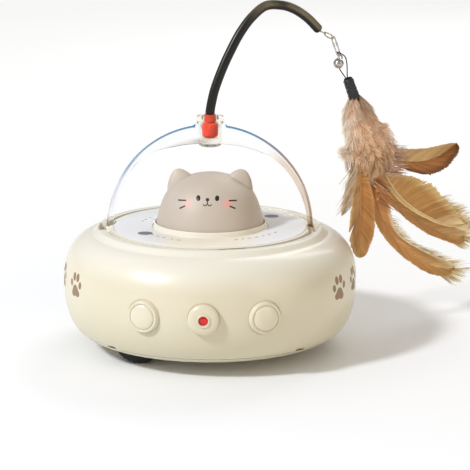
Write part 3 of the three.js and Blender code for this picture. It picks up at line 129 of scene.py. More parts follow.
class Nodes:
    """A node tree, with short ways to add nodes and join them."""

    def __init__(self, tree):
        self.tree = tree

    def add(self, kind, inputs=None, **settings):
        """A new node, with its settings and with a value or a socket for each named input."""
        node = self.tree.nodes.new(kind)
        for key, value in settings.items():
            setattr(node, key, value)
        for key, value in (inputs or {}).items():
            self.put(node.inputs[key], value)
        return node

    def put(self, socket, value):
        """Joins a socket to an input, or sets the input to a value."""
        if isinstance(value, bpy.types.NodeSocket):
            self.tree.links.new(value, socket)
        elif isinstance(value, (tuple, list)) and len(value) == 3 and socket.type == "RGBA":
            socket.default_value = (*value, 1.0)
        else:
            socket.default_value = value

    def math(self, operation, *values):
        """The result of a sum with the values."""
        node = self.add("ShaderNodeMath", operation=operation)
        for i, value in enumerate(values):
            self.put(node.inputs[i], value)
        return node.outputs[0]

    def rest(self, value):
        """1 minus the value."""
        return self.math("SUBTRACT", 1.0, value)

    def far(self, first, second):
        """The length of the vector (first, second)."""
        square = self.math("MULTIPLY", first, first)
        return self.math("SQRT", self.math("ADD", square, self.math("MULTIPLY", second, second)))

    def mix(self, factor, first, second, blend="MIX"):
        """The colour that lies between two by a factor."""
        node = self.add("ShaderNodeMix", data_type="RGBA", blend_type=blend)
        self.put(node.inputs[0], factor)
        self.put(node.inputs[6], first)
        self.put(node.inputs[7], second)
        return node.outputs[2]

    def noise(self, scale, detail=2.0, vector=None, rough=0.5):
        """Noise from 0 to 1 over the object's own coordinates, in metres."""
        place = vector or self.add("ShaderNodeTexCoord").outputs["Object"]
        node = self.add("ShaderNodeTexNoise", {
            "Vector": place, "Scale": scale, "Detail": detail, "Roughness": rough,
        })
        return node.outputs[0]

    def smooth(self, value, low, high):
        """0 below low and 1 above high, with a smooth step between them."""
        node = self.add("ShaderNodeMapRange", interpolation_type="SMOOTHSTEP")
        for i, x in enumerate((value, low, high, 0.0, 1.0)):
            self.put(node.inputs[i], x)
        return node.outputs[0]

    def place(self):
        """The sockets of x, y and z in the toy's frame, in metres."""
        node = self.add("ShaderNodeSeparateXYZ", {0: self.add("ShaderNodeTexCoord").outputs["Object"]})
        return node.outputs[0], node.outputs[1], node.outputs[2]


def new_group(name, inputs, outputs):
    """A shader node group with the named sockets; returns its Nodes, its input node and its output node."""
    tree = bpy.data.node_groups.new(name, "ShaderNodeTree")
    kinds = {"colour": "NodeSocketColor", "value": "NodeSocketFloat"}
    for label, kind, value in inputs:
        socket = tree.interface.new_socket(name=label, in_out="INPUT", socket_type=kinds[kind])
        socket.default_value = (*value, 1.0) if kind == "colour" else value
    for label, kind in outputs:
        tree.interface.new_socket(name=label, in_out="OUTPUT", socket_type=kinds[kind])
    nodes = Nodes(tree)
    return nodes, nodes.add("NodeGroupInput"), nodes.add("NodeGroupOutput")


def moulded_group():
    """Moulded surface: faint flow patches in the colour, uneven gloss and a fine spark-eroded grain."""
    nodes, given, out = new_group("moulded_surface", [
        ("Colour", "colour", (0.8, 0.8, 0.8)), ("Shade", "colour", (0.7, 0.7, 0.7)),
        ("Patch Scale", "value", 30.0), ("Grain Scale", "value", 2500.0),
        ("Roughness", "value", 0.35), ("Spread", "value", 0.1),
    ], [("Colour", "colour"), ("Roughness", "value"), ("Height", "value")])
    patch = nodes.noise(given.outputs["Patch Scale"], 3.0)
    grain = nodes.noise(given.outputs["Grain Scale"], 2.0)
    soft = nodes.smooth(patch, 0.3, 0.7)
    speck = nodes.math("MULTIPLY_ADD", grain, 0.25, nodes.math("MULTIPLY", soft, 0.75))
    nodes.put(out.inputs["Colour"], nodes.mix(speck, given.outputs["Colour"], given.outputs["Shade"]))
    swing = nodes.math("MULTIPLY", nodes.math("SUBTRACT", patch, 0.5), given.outputs["Spread"])
    nodes.put(out.inputs["Roughness"], nodes.math("ADD", given.outputs["Roughness"], swing))
    nodes.put(out.inputs["Height"], grain)
    return nodes.tree


def metal_group():
    """Plated or rolled metal: cloudy tarnish that dulls its sheen, and fine scratches in two directions."""
    nodes, given, out = new_group("worn_metal", [
        ("Colour", "colour", (0.8, 0.8, 0.8)), ("Tarnish", "colour", (0.4, 0.35, 0.3)),
        ("Scale", "value", 600.0), ("Amount", "value", 0.3), ("Roughness", "value", 0.25),
    ], [("Colour", "colour"), ("Roughness", "value"), ("Height", "value")])
    cloud = nodes.noise(given.outputs["Scale"], 4.0, rough=0.65)
    place = nodes.add("ShaderNodeTexCoord").outputs["Object"]
    stretched = nodes.add("ShaderNodeVectorMath", {0: place, 1: (1.0, 9.0, 14.0)}, operation="MULTIPLY")
    scratch = nodes.noise(900.0, 3.0, stretched.outputs[0])
    dull = nodes.math("MULTIPLY", nodes.smooth(cloud, 0.45, 0.7), given.outputs["Amount"])
    nodes.put(out.inputs["Colour"], nodes.mix(dull, given.outputs["Colour"], given.outputs["Tarnish"]))
    rough = nodes.math("MULTIPLY_ADD", scratch, 0.15, given.outputs["Roughness"])
    nodes.put(out.inputs["Roughness"], nodes.math("MULTIPLY_ADD", dull, 0.4, rough))
    nodes.put(out.inputs["Height"], scratch)
    return nodes.tree


def fibre_group():
    """Fibres: the strand's own colour with fine streaks, and a matt surface that varies with them."""
    nodes, given, out = new_group("fibre_surface", [
        ("Colour", "colour", (0.5, 0.4, 0.3)), ("Dark", "value", 0.75), ("Scale", "value", 700.0),
        ("Roughness", "value", 0.6),
    ], [("Colour", "colour"), ("Roughness", "value"), ("Height", "value")])
    streak = nodes.noise(given.outputs["Scale"], 3.0, rough=0.6)
    dark = given.outputs["Dark"]
    depth = nodes.math("MULTIPLY_ADD", streak, nodes.rest(dark), dark)
    shade = nodes.add("ShaderNodeCombineColor", {0: depth, 1: depth, 2: depth})
    nodes.put(out.inputs["Colour"], nodes.mix(1.0, given.outputs["Colour"], shade.outputs[0], "MULTIPLY"))
    nodes.put(out.inputs["Roughness"], nodes.math("MULTIPLY_ADD", streak, 0.2, given.outputs["Roughness"]))
    nodes.put(out.inputs["Height"], streak)
    return nodes.tree


GROUPS = {"moulded": moulded_group(), "metal": metal_group(), "fibre": fibre_group()}


class Look(Nodes):
    """A material whose shader is one Principled BSDF, fed by one of the shared groups."""

    def __init__(self, name, group, values, bump=0.05, depth=0.00005, **constants):
        self.material = bpy.data.materials.new(name)
        self.material.use_nodes = True
        super().__init__(self.material.node_tree)
        self.tree.nodes.clear()
        self.shader = self.add("ShaderNodeBsdfPrincipled")
        out = self.add("ShaderNodeOutputMaterial", {"Surface": self.shader.outputs[0]})
        out.is_active_output = True
        self.group = self.add("ShaderNodeGroup", node_tree=GROUPS[group])
        for key, value in values.items():
            self.put(self.group.inputs[key], value)
        self.put(self.shader.inputs["Base Color"], self.group.outputs["Colour"])
        self.put(self.shader.inputs["Roughness"], self.group.outputs["Roughness"])
        if bump:
            node = self.add("ShaderNodeBump", {
                "Strength": bump, "Distance": depth, "Height": self.group.outputs["Height"],
            })
            self.put(self.shader.inputs["Normal"], node.outputs[0])
        for key, value in constants.items():
            self.put(self.shader.inputs[key.replace("_", " ")], value)


def plastic(name, colour, shade, roughness, spread=0.1, patch=25.0, grain=2200.0, bump=0.1, **constants):
    """A moulded plastic from screen colours."""
    return Look(name, "moulded", {
        "Colour": rgb(*colour), "Shade": rgb(*shade), "Patch Scale": patch, "Grain Scale": grain,
        "Roughness": roughness, "Spread": spread,
    }, bump, **constants)


def metal(name, colour, tarnish, roughness, amount=0.3, scale=600.0):
    """A metal from screen colours."""
    return Look(name, "metal", {
        "Colour": rgb(*colour), "Tarnish": rgb(*tarnish), "Roughness": roughness, "Amount": amount,
        "Scale": scale,
    }, 0.15, 0.00002, Metallic=1.0)


def strand(name, dark=0.7, scale=700.0, roughness=0.55, **constants):
    """A fibre whose colour comes from the mesh's own colour attribute."""
    values = {"Dark": dark, "Scale": scale, "Roughness": roughness}
    look = Look(name, "fibre", values, 0.3, 0.0001, **constants)
    colour = look.add("ShaderNodeAttribute", attribute_name="tone")
    look.put(look.group.inputs["Colour"], colour.outputs["Color"])
    return look


# Mesh helpers

def unit(v):
    """Vectors scaled to length one along their last axis."""
    v = np.asarray(v, float)
    return v / np.maximum(np.linalg.norm(v, axis=-1, keepdims=True), 1e-12)


def grid_quads(rows, cols, close_rows=False, close_cols=False):
    """The quads of a grid of points that is counted row by row."""
    row = np.arange(rows if close_rows else rows - 1)
    col = np.arange(cols if close_cols else cols - 1)
    r0, c0 = np.meshgrid(row, col, indexing="ij")
    r1, c1 = (r0 + 1) % rows, (c0 + 1) % cols
    return np.stack([r0 * cols + c0, r0 * cols + c1, r1 * cols + c1, r1 * cols + c0], -1).reshape(-1, 4)


def fan_faces(pole, rim, sides, turned):
    """The triangles from a pole to a closed ring whose first point is rim, turned round where asked."""
    k = np.arange(sides)
    fan = np.stack([np.full(sides, pole), rim + (k + 1) % sides, rim + k], -1)
    return fan[:, ::-1] if turned else fan


def smoothstep(t):
    """0 to 1 with no slope at either end."""
    t = np.clip(t, 0, 1)
    return t * t * (3 - 2 * t)


class Shape:
    """Surfaces gathered into one mesh, in millimetres, with an optional colour for each point."""

    def __init__(self):
        self.points, self.faces, self.tones, self.count = [], [], [], 0

    def add(self, points, faces, tone=None):
        """Adds points, the faces between them, and one colour or a colour for each point."""
        points = np.asarray(points, float).reshape(-1, 3)
        self.points.append(points)
        self.faces.append(np.asarray(faces, int) + self.count)
        if tone is not None:
            self.tones.append(np.broadcast_to(np.asarray(tone, float), (len(points), 3)))
        self.count += len(points)
        return self

    def add_point(self, point, tone=None):
        """Adds one point without a face and returns its number."""
        self.add([point], np.empty((0, 3), int), tone)
        return self.count - 1

    def join(self, other):
        """Adds all of another shape."""
        self.points += other.points
        self.faces += [faces + self.count for faces in other.faces]
        self.tones += other.tones
        self.count += other.count
        return self

    def move(self, turn):
        """Applies a function of points to every point."""
        self.points = [turn(p) for p in self.points]
        return self

    def mesh(self, name):
        """The shape as a mesh, in metres."""
        co = np.concatenate(self.points) * MM
        mesh = bpy.data.meshes.new(name)
        mesh.vertices.add(len(co))
        mesh.vertices.foreach_set("co", co.astype(np.float32).ravel())
        loops = np.concatenate([f.ravel() for f in self.faces])
        sizes = np.concatenate([np.full(len(f), f.shape[1]) for f in self.faces])
        mesh.loops.add(len(loops))
        mesh.loops.foreach_set("vertex_index", loops.astype(np.int32))
        mesh.polygons.add(len(sizes))
        mesh.polygons.foreach_set("loop_start", (np.cumsum(sizes) - sizes).astype(np.int32))
        mesh.update(calc_edges=True)
        if self.tones:
            tone = np.ones((len(co), 4), np.float32)
            tone[:, :3] = np.concatenate(self.tones)
            mesh.attributes.new("tone", "FLOAT_COLOR", "POINT").data.foreach_set("color", tone.ravel())
        mesh.validate()
        return mesh

    def piece(self, name, body, look, replaces=(), slot=None, angle=35.0, weld=False):
        """Makes the object, smooth up to an angle between faces, and lets it ride on a body."""
        mesh = self.mesh(name)
        if weld:
            work = bmesh_of(mesh)
            bmesh.ops.remove_doubles(work, verts=work.verts, dist=0.002 * MM)
            work.to_mesh(mesh)
            work.free()
        mesh.polygons.foreach_set("use_smooth", np.ones(len(mesh.polygons), bool))
        mesh.set_sharp_from_angle(angle=math.radians(angle))
        mesh.materials.append(look.material)
        thing = bpy.data.objects.new(name, mesh)
        bpy.context.scene.collection.objects.link(thing)
        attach(thing, body)
        if replaces:
            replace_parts(thing, *replaces)
        return thing


def bmesh_of(mesh):
    """A bmesh copy of a mesh."""
    work = bmesh.new()
    work.from_mesh(mesh)
    return work


def rounded(corners, steps=4, closed=False):
    """The outline through corners (x, y) or (x, y, radius). Each radius is an arc that touches both straight
    runs."""
    out, n = [], len(corners)
    for i, corner in enumerate(corners):
        p = np.array(corner[:2], float)
        if len(corner) < 3 or (not closed and i in (0, n - 1)):
            out.append(p)
            continue
        a = np.array(corners[i - 1][:2], float) - p
        b = np.array(corners[(i + 1) % n][:2], float) - p
        la, lb = np.linalg.norm(a), np.linalg.norm(b)
        a, b = a / la, b / lb
        half = math.acos(np.clip(a @ b, -1, 1)) / 2
        reach = min(corner[2] / math.tan(half), 0.49 * la, 0.49 * lb)
        radius = reach * math.tan(half)
        centre = p + unit(a + b) * radius / math.sin(half)
        u, v = (p + a * reach - centre) / radius, (p + b * reach - centre) / radius
        sweep_angle = math.acos(np.clip(u @ v, -1, 1))
        for k in range(steps + 1):
            t = k / steps
            way = math.sin((1 - t) * sweep_angle) * u + math.sin(t * sweep_angle) * v
            out.append(centre + radius * way / math.sin(sweep_angle))
    return np.array(out)


def revolve(shape, outline, sides=96, origin=(0, 0, 0), axis=EZ, closed=False, tone=None):
    """A surface of revolution of points (radius, height) about an axis, closed by a fan where it meets it."""
    outline = np.asarray(outline, float)
    axis = unit(axis)
    u = unit(np.cross(axis, EX if abs(axis[0]) < 0.9 else EY))
    v = np.cross(axis, u)
    angle = np.arange(sides) * TAU / sides
    ring = np.cos(angle)[:, None] * u + np.sin(angle)[:, None] * v
    first, last = outline[0, 0] < 1e-6, outline[-1, 0] < 1e-6
    body = outline[1 if first else 0: len(outline) - (1 if last else 0)]
    points = body[:, None, :1] * ring[None] + body[:, None, 1:] * axis
    shape.add(points + np.asarray(origin, float), grid_quads(len(body), sides, closed, True), tone)
    base = shape.count - len(body) * sides
    for on_axis, row, height in ((first, 0, outline[0, 1]), (last, len(body) - 1, outline[-1, 1])):
        if on_axis:
            pole = shape.add_point(np.asarray(origin, float) + axis * height, tone)
            shape.faces.append(fan_faces(pole, base + row * sides, sides, row > 0))
    return shape


def sweep(shape, path, section, ref, scale=1.0, closed=False, tone=None):
    """A closed section (across, up) moved along a path and capped at its ends. Across is square to ref, and
    scale is one number a point."""
    path, section = np.asarray(path, float), np.asarray(section, float)
    along = unit(np.roll(path, -1, 0) - np.roll(path, 1, 0) if closed else np.gradient(path, axis=0))
    across = unit(np.cross(ref, along))
    up = np.cross(along, across)
    scale = np.broadcast_to(np.asarray(scale, float), len(path))[:, None, None]
    flat = across[:, None] * section[None, :, :1] + up[:, None] * section[None, :, 1:]
    points = path[:, None] + scale * flat
    n, m = len(path), len(section)
    if tone is not None and np.ndim(tone) == 2:
        tone = np.repeat(tone, m, axis=0)
    shape.add(points, grid_quads(n, m, closed, True), tone)
    if not closed:
        base = shape.count - n * m
        for row, end in ((0, path[0]), (n - 1, path[-1])):
            end_tone = tone if tone is None or np.ndim(tone) == 1 else tone[row * m]
            pole = shape.add_point(end, end_tone)
            shape.faces.append(fan_faces(pole, base + row * m, m, row > 0))
    return shape


def circle(radius, sides):
    """A round section."""
    angle = np.arange(sides) * TAU / sides
    return radius * np.stack([np.cos(angle), np.sin(angle)], -1)


def spline(points, count, closed=False):
    """The centripetal Catmull-Rom curve through the points, as count points evenly spaced along it."""
    p = np.asarray(points, float)
    n = len(p)
    if closed:
        ends = np.vstack([p[-1], p, p[0], p[1]])
    else:
        ends = np.vstack([2 * p[0] - p[1], p, 2 * p[-1] - p[-2]])
    dense = []
    for i in range(n if closed else n - 1):
        a, b, c, d = ends[i:i + 4]
        gaps = [max(np.linalg.norm(y - x) ** 0.5, 1e-6) for x, y in ((a, b), (b, c), (c, d))]
        t0, t1, t2, t3 = 0, gaps[0], gaps[0] + gaps[1], sum(gaps)
        t = np.linspace(t1, t2, 40, endpoint=False)[:, None]
        a1 = (t1 - t) / (t1 - t0) * a + (t - t0) / (t1 - t0) * b
        a2 = (t2 - t) / (t2 - t1) * b + (t - t1) / (t2 - t1) * c
        a3 = (t3 - t) / (t3 - t2) * c + (t - t2) / (t3 - t2) * d
        b1 = (t2 - t) / (t2 - t0) * a1 + (t - t0) / (t2 - t0) * a2
        b2 = (t3 - t) / (t3 - t1) * a2 + (t - t1) / (t3 - t1) * a3
        dense.append((t2 - t) / (t2 - t1) * b1 + (t - t1) / (t2 - t1) * b2)
    dense.append(p[:1] if closed else p[-1:])
    dense = np.concatenate(dense)
    walked = np.r_[0, np.cumsum(np.linalg.norm(np.diff(dense, axis=0), axis=1))]
    at = np.linspace(0, walked[-1], count, endpoint=not closed)
    return np.stack([np.interp(at, walked, dense[:, k]) for k in range(3)], -1)


def cad_look(node, look, angle=30.0):
    """Gives a CAD node that stays its material, and smooth shading up to an angle."""
    thing = frame["nodes"][node]
    thing.data.materials.clear()
    thing.data.materials.append(look.material)
    thing.data.polygons.foreach_set("use_smooth", np.ones(len(thing.data.polygons), bool))
    weld = thing.modifiers.new("weld", "WELD")
    weld.merge_threshold = 0.003 * MM
    split = thing.modifiers.new("split", "EDGE_SPLIT")
    split.split_angle = math.radians(angle)


# Sizes that several pieces share

GAP = 0.3
FRONT, BACK = -90.0, 90.0
BODY_RADIUS = 95.0
WELL_RADIUS, WELL_FLOOR = 67.8, 60.0
RIM_TOP = 69.0
CONTROL_HEIGHT, BOSS_HEIGHT = 31.5, 32.0
CONTROL_ANGLE = 22.9
BEZEL_RADIUS, BOSS_RADIUS = 10.5, 9.8
POCKET_ANGLES = (-176.5, -3.5)
DECK_RADIUS, DECK_TOP = 64.8, 69.0
HEAD_RADIUS, HEAD_FOOT = 34.8, 72.3
ARCH_CENTRE, ARCH_RADIUS = 67.4, 66.6
ARCH_HALF_WIDTH, ARCH_WALL = 10.0, 3.4
SOCKET_TOP = 141.3


# Materials

shell_look = plastic("cream_shell", (222, 214, 190), (217, 208, 182), 0.32, 0.08, bump=0.06, Coat_Weight=0.2,
                     Coat_Roughness=0.1)
deck_look = plastic("deck_white", (236, 231, 216), (230, 224, 208), 0.4, 0.08, bump=0.06)
inlay_look = plastic("deck_inlay", (236, 230, 214), (230, 223, 206), 0.4, 0.1, bump=0.08)
head_look = plastic("head_greige", (197, 185, 171), (189, 176, 162), 0.5, 0.08, bump=0.06)
white_look = plastic("white_parts", (226, 222, 210), (214, 209, 196), 0.4)
dark_look = plastic("dark_parts", (38, 38, 40), (28, 28, 30), 0.5, bump=0.2)
face_look = plastic("print_ink", (52, 40, 36), (38, 28, 26), 0.45, bump=0.02)
eye_look = plastic("eye_ink", (36, 26, 24), (26, 17, 16), 0.45, 0.04, bump=0.0)
paw_look = plastic("paw_ink", (150, 124, 98), (138, 112, 86), 0.5, bump=0.02)
mark_look = plastic("mark_ink", (118, 118, 128), (104, 105, 116), 0.5, bump=0.02)
dash_look = plastic("dash_ink", (140, 128, 112), (126, 114, 98), 0.5, bump=0.02)
cap_look = plastic("button_cap", (226, 218, 194), (220, 211, 186), 0.28, 0.08, bump=0.05, Coat_Weight=0.2,
                   Coat_Roughness=0.12)
wand_look = plastic("wand_black", (30, 28, 25), (21, 19, 17), 0.34, 0.12, 60.0, 3000.0, 0.15,
                    Specular_IOR_Level=0.3)
wand_tone = wand_look.add("ShaderNodeAttribute", attribute_name="tone")
wand_look.put(wand_look.group.inputs["Colour"], wand_tone.outputs["Color"])
rubber_look = plastic("tyre_rubber", (30, 30, 32), (44, 42, 42), 0.72, 0.1, 90.0, 1500.0, 0.6)
ferrule_look = plastic("ferrule_black", (20, 20, 22), (36, 36, 38), 0.42, 0.2, 300.0, 1500.0, 0.6)
plug_look = plastic("plug_silicone", (204, 66, 44), (192, 56, 36), 0.3, 0.1, 120.0, 2500.0, 0.1,
                    Subsurface_Weight=0.3, Subsurface_Radius=(0.004, 0.0012, 0.0006))
steel_look = metal("steel", (198, 200, 204), (120, 116, 112), 0.28)
bright_look = metal("bright_metal", (188, 184, 178), (104, 98, 92), 0.14, 0.4, 900.0)
board_look = plastic("circuit_board", (32, 92, 62), (24, 78, 52), 0.35, 0.15, 200.0, 1200.0, 0.3)
cell_look = plastic("cell_wrap", (52, 92, 148), (44, 80, 134), 0.3, 0.1, 60.0)
cream_cord_look = strand("cream_cord", 0.8, 900.0, 0.6)
black_cord_look = strand("black_cord", 0.8, 900.0, 0.55)
feather_look = strand("feather", 0.84, 450.0, 0.5, Sheen_Weight=0.15, Sheen_Roughness=0.4)
# The down emits its own colour faintly: a painted glow that stands in for light through its strands.
down_glow_look = strand("down", 0.85, 300.0, 0.7, Sheen_Weight=0.35, Sheen_Roughness=0.5, Emission_Strength=0.07)
down_glow_look.put(down_glow_look.shader.inputs["Emission Color"], down_glow_look.group.outputs["Colour"])

# Stops of the arch's painted reflections: the angle in radians from the crown, positive to the right, and the
# colour there.
OUTER_PAINTED_REFLECTIONS = (
    (-1.5, (248, 248, 252)), (-1.2, (196, 198, 222)), (-0.95, (72, 124, 172)), (-0.1, (10, 122, 168)),
    (0.3, (32, 122, 168)), (0.62, (116, 116, 144)), (0.95, (150, 112, 72)), (1.5, (140, 96, 46)),
)
INNER_PAINTED_REFLECTIONS = (
    (-1.3, (248, 246, 248)), (-0.8, (216, 194, 200)), (-0.24, (196, 180, 178)), (-0.1, (112, 92, 76)),
    (0.1, (250, 250, 250)), (0.45, (240, 228, 212)), (0.85, (196, 150, 92)), (1.5, (176, 126, 70)),
)


def painted_reflection_along(look, angle, stops):
    """The colour at an angle, with a smooth step from each stop to the next."""
    tint = rgb(*stops[0][1])
    for (begin, _), (finish, colour) in zip(stops, stops[1:]):
        tint = look.mix(look.smooth(angle, begin, finish), tint, rgb(*colour))
    return tint


def clear_with_painted_reflections():
    """Clear acrylic: plain transmission, with painted azure, lavender and tan reflections along its edges.
    One painted reflection lies on its outer half towards the back, and one on its inner edge at the front.
    Both go by the angle round the arch."""
    look = plastic("clear_acrylic", (253, 254, 254), (250, 251, 252), 0.02, 0.02, bump=0.0, IOR=1.005,
                   Transmission_Weight=1.0)
    x, y, z = look.place()
    rise = look.math("SUBTRACT", z, ARCH_CENTRE * MM)
    radius = look.far(x, rise)
    angle = look.math("ARCTAN2", x, rise)
    steep = look.smooth(look.math("ABSOLUTE", angle), 0.3, 1.0)
    start = look.math("SUBTRACT", 0.0008, look.math("MULTIPLY", steep, 0.008))
    back = look.smooth(look.math("SUBTRACT", y, start), 0.0, 0.0022)
    edge = look.math("MULTIPLY", back, look.smooth(radius, 0.0644, 0.0652))
    beside_socket = look.smooth(look.math("ABSOLUTE", x), 0.0092, 0.0102)
    edge = look.math("MULTIPLY", edge, beside_socket)
    front = look.rest(look.smooth(y, -0.0092, -0.0084))
    deep = look.rest(look.smooth(radius, 0.0592, 0.0622))
    inner = look.math("MULTIPLY", front, look.math("MAXIMUM", deep, look.smooth(angle, 0.5, 0.85)))
    outer_reflection_paint = painted_reflection_along(look, angle, OUTER_PAINTED_REFLECTIONS)
    inner_reflection_paint = painted_reflection_along(look, angle, INNER_PAINTED_REFLECTIONS)
    # painted reflections, mixed into the base colour of the clear acrylic
    colour = look.mix(look.math("MULTIPLY", edge, 0.9), look.group.outputs["Colour"], outer_reflection_paint)
    colour = look.mix(look.math("MULTIPLY", inner, 0.75), colour, inner_reflection_paint)
    look.put(look.shader.inputs["Base Color"], colour)
    return look


def socket_with_painted_shade():
    """Clear moulding of the socket, a little creamy, with painted dark shade where it turns away from the eye
    and a painted dark ring of shade inside its mouth, left and right of the wand."""
    look = plastic("socket_clear", (254, 249, 240), (250, 244, 234), 0.04, 0.03, bump=0.0, IOR=1.14,
                   Transmission_Weight=1.0)
    turned = look.add("ShaderNodeLayerWeight", {"Blend": 0.5}).outputs["Facing"]
    edge = look.math("MULTIPLY", look.smooth(turned, 0.8, 0.98), 0.55)
    x, y, z = look.place()
    above = look.smooth(z, 0.1388, 0.1394)
    below = look.rest(look.smooth(z, 0.1406, 0.1411))
    inside = look.rest(look.smooth(look.far(x, y), 0.0061, 0.0066))
    ring = look.math("MULTIPLY", look.math("MULTIPLY", above, below), inside)
    ring = look.math("MULTIPLY", ring, look.smooth(look.math("ABSOLUTE", x), 0.0036, 0.0044))
    # painted shade: dark edges where the surface turns away, and a dark ring in the mouth
    dark = look.math("MAXIMUM", edge, ring)
    look.put(look.shader.inputs["Base Color"], look.mix(dark, look.group.outputs["Colour"], rgb(60, 56, 54)))
    return look


def lens_with_painted_glow():
    """Red lens, with a faint painted glow in its own colour."""
    look = plastic("red_lens", (212, 8, 18), (194, 4, 12), 0.12, 0.04, 300.0, 2500.0, 0.0, Coat_Weight=0.3,
                   Coat_Roughness=0.05, Emission_Strength=0.2)
    # painted glow: the lens emits its own colour, though it is no lamp
    look.put(look.shader.inputs["Emission Color"], look.group.outputs["Colour"])
    return look


acrylic_look = clear_with_painted_reflections()
red_look = lens_with_painted_glow()
socket_look = socket_with_painted_shade()


def blush(look):
    """Adds the soft pink cheeks to the head's front. Each fades with the distance from its middle."""
    x, y, z = look.place()
    masks = []
    for across, high, amount in ((-0.01345, 0.0893, 0.4), (0.0122, 0.0892, 0.65)):
        aside = look.math("SUBTRACT", x, across)
        above = look.math("MULTIPLY", look.math("SUBTRACT", z, high), 1.15)
        fade = look.rest(look.smooth(look.far(aside, above), 0.0004, 0.005))
        masks.append(look.math("MULTIPLY", fade, amount))
    front = look.smooth(look.math("MULTIPLY", y, -1.0), 0.0, 0.002)
    mask = look.math("MULTIPLY", look.math("MAXIMUM", *masks), front)
    colour = look.mix(mask, look.group.outputs["Colour"], rgb(246, 158, 150))
    look.put(look.shader.inputs["Base Color"], colour)


def paint_shoulder_light(look):
    """Paints the housing's colour paler towards its rim, as painted light from above, and a little deeper
    towards its foot, as painted shade.
    """
    _, _, z = look.place()
    # painted shade towards the foot, and painted light towards the rim
    foot = look.rest(look.smooth(z, 0.012, 0.036))
    colour = look.mix(look.smooth(z, 0.044, 0.064), look.group.outputs["Colour"], rgb(228, 224, 210))
    look.put(look.shader.inputs["Base Color"], look.mix(foot, colour, rgb(213, 205, 178)))


def paint_cool_side_light(look):
    """Paints the inlay's colour a cooler grey towards its left and right ends: painted light and shade, with
    a warmer middle.
    """
    x, _, _ = look.place()
    # painted cool light and shade towards the inlay's left and right ends
    side = look.smooth(look.math("ABSOLUTE", x), 0.012, 0.042)
    colour = look.mix(side, look.group.outputs["Colour"], rgb(229, 230, 232))
    look.put(look.shader.inputs["Base Color"], colour)


blush(head_look)
paint_shoulder_light(shell_look)
paint_cool_side_light(inlay_look)


# Housing

FOOT_RADIUS, SEAM_HEIGHT = 76.0, 4.3
BELLY_LOW, BELLY_HIGH = 33.0, 35.0
VALLEY_RADIUS, VALLEY_HEIGHT = 70.0, 66.0
RIM_START, RIM_RADIUS = 77.0, 71.8
SHELL_INSIDE, HUB_BORE = 84.2, 8.6
SLOT_ANGLE, SLOT_HALF, SLOT_TOP, SLOT_DEPTH = 42.3, 2.18, 5.92, 3.2
CHARGE_HEIGHT, CHARGE_HALF_WIDTH, CHARGE_HALF_HEIGHT = 13.55, 5.5, 2.7

# The grid of the housing: its side is what lies further out than SIDE_RADIUS, the rows are even between the
# belt's heights and finest within FINE_RADIUS, and each field is half as wide, in degrees, as given here.
SIDE_RADIUS, FINE_RADIUS = 80.0, 79.0
SLOT_ROWS_TOP, BELT_LOW, BELT_HIGH = 7.2, 18.0, 44.4
CONTROL_FIELD, CHARGE_FIELD, SLOT_FIELD, POCKET_FIELD = 8.0, 6.0, 2.4, 9.5
GRID_START = -200.0
GRID_STEP = 1.2


def body_profile():
    """The dense outer profile (radius, height), as its foot, its side and its well. The side is a squared
    quarter ellipse up to the widest place, another one to the valley, and a smooth step up to the rim."""
    a = np.linspace(0, 1, 600)[:, None] * math.pi / 2
    belly, shoulder = BODY_RADIUS - FOOT_RADIUS, BODY_RADIUS - VALLEY_RADIUS
    low = np.hstack([FOOT_RADIUS + belly * np.sin(a) ** 0.9, BELLY_LOW - BELLY_LOW * np.cos(a) ** 0.9])
    high = np.hstack([
        VALLEY_RADIUS + shoulder * np.abs(np.cos(a)) ** 0.85,
        BELLY_HIGH + (VALLEY_HEIGHT - BELLY_HIGH) * np.sin(a) ** 0.85,
    ])
    low, high = low[low[:, 1] > SEAM_HEIGHT + 0.05], high[high[:, 0] > RIM_START]
    t = np.linspace(0, 1, 60)[1:, None]
    radius, level = high[-1]
    rim = np.hstack([radius + (RIM_RADIUS - radius) * t, level + (RIM_TOP - level) * smoothstep(t)])
    well = rounded([
        (RIM_RADIUS, RIM_TOP), (WELL_RADIUS, RIM_TOP, 0.6), (WELL_RADIUS, WELL_FLOOR, 0.8),
        (HUB_BORE, WELL_FLOOR),
    ], 5)[1:]
    edge = low[0, 0]
    foot = np.array([
        [SHELL_INSIDE, SEAM_HEIGHT + 0.7], [SHELL_INSIDE, SEAM_HEIGHT], [edge - 0.25, SEAM_HEIGHT],
        [edge - 0.05, SEAM_HEIGHT + 0.02],
    ])
    return foot, np.vstack([low, high, rim]), well


def spaced(line, step):
    """Points along a dense line, one every step or so, with its ends kept."""
    walked = np.r_[0, np.cumsum(np.linalg.norm(np.diff(line, axis=0), axis=1))]
    at = np.linspace(0, walked[-1], max(2, int(round(walked[-1] / step)) + 1))
    return np.stack([np.interp(at, walked, line[:, 0]), np.interp(at, walked, line[:, 1])], -1)


foot_line, side_line, well_line = body_profile()


def side_radius(height):
    """The housing's outer radius at a height between the seam and the shoulder."""
    return np.interp(height, side_line[:, 1], side_line[:, 0])


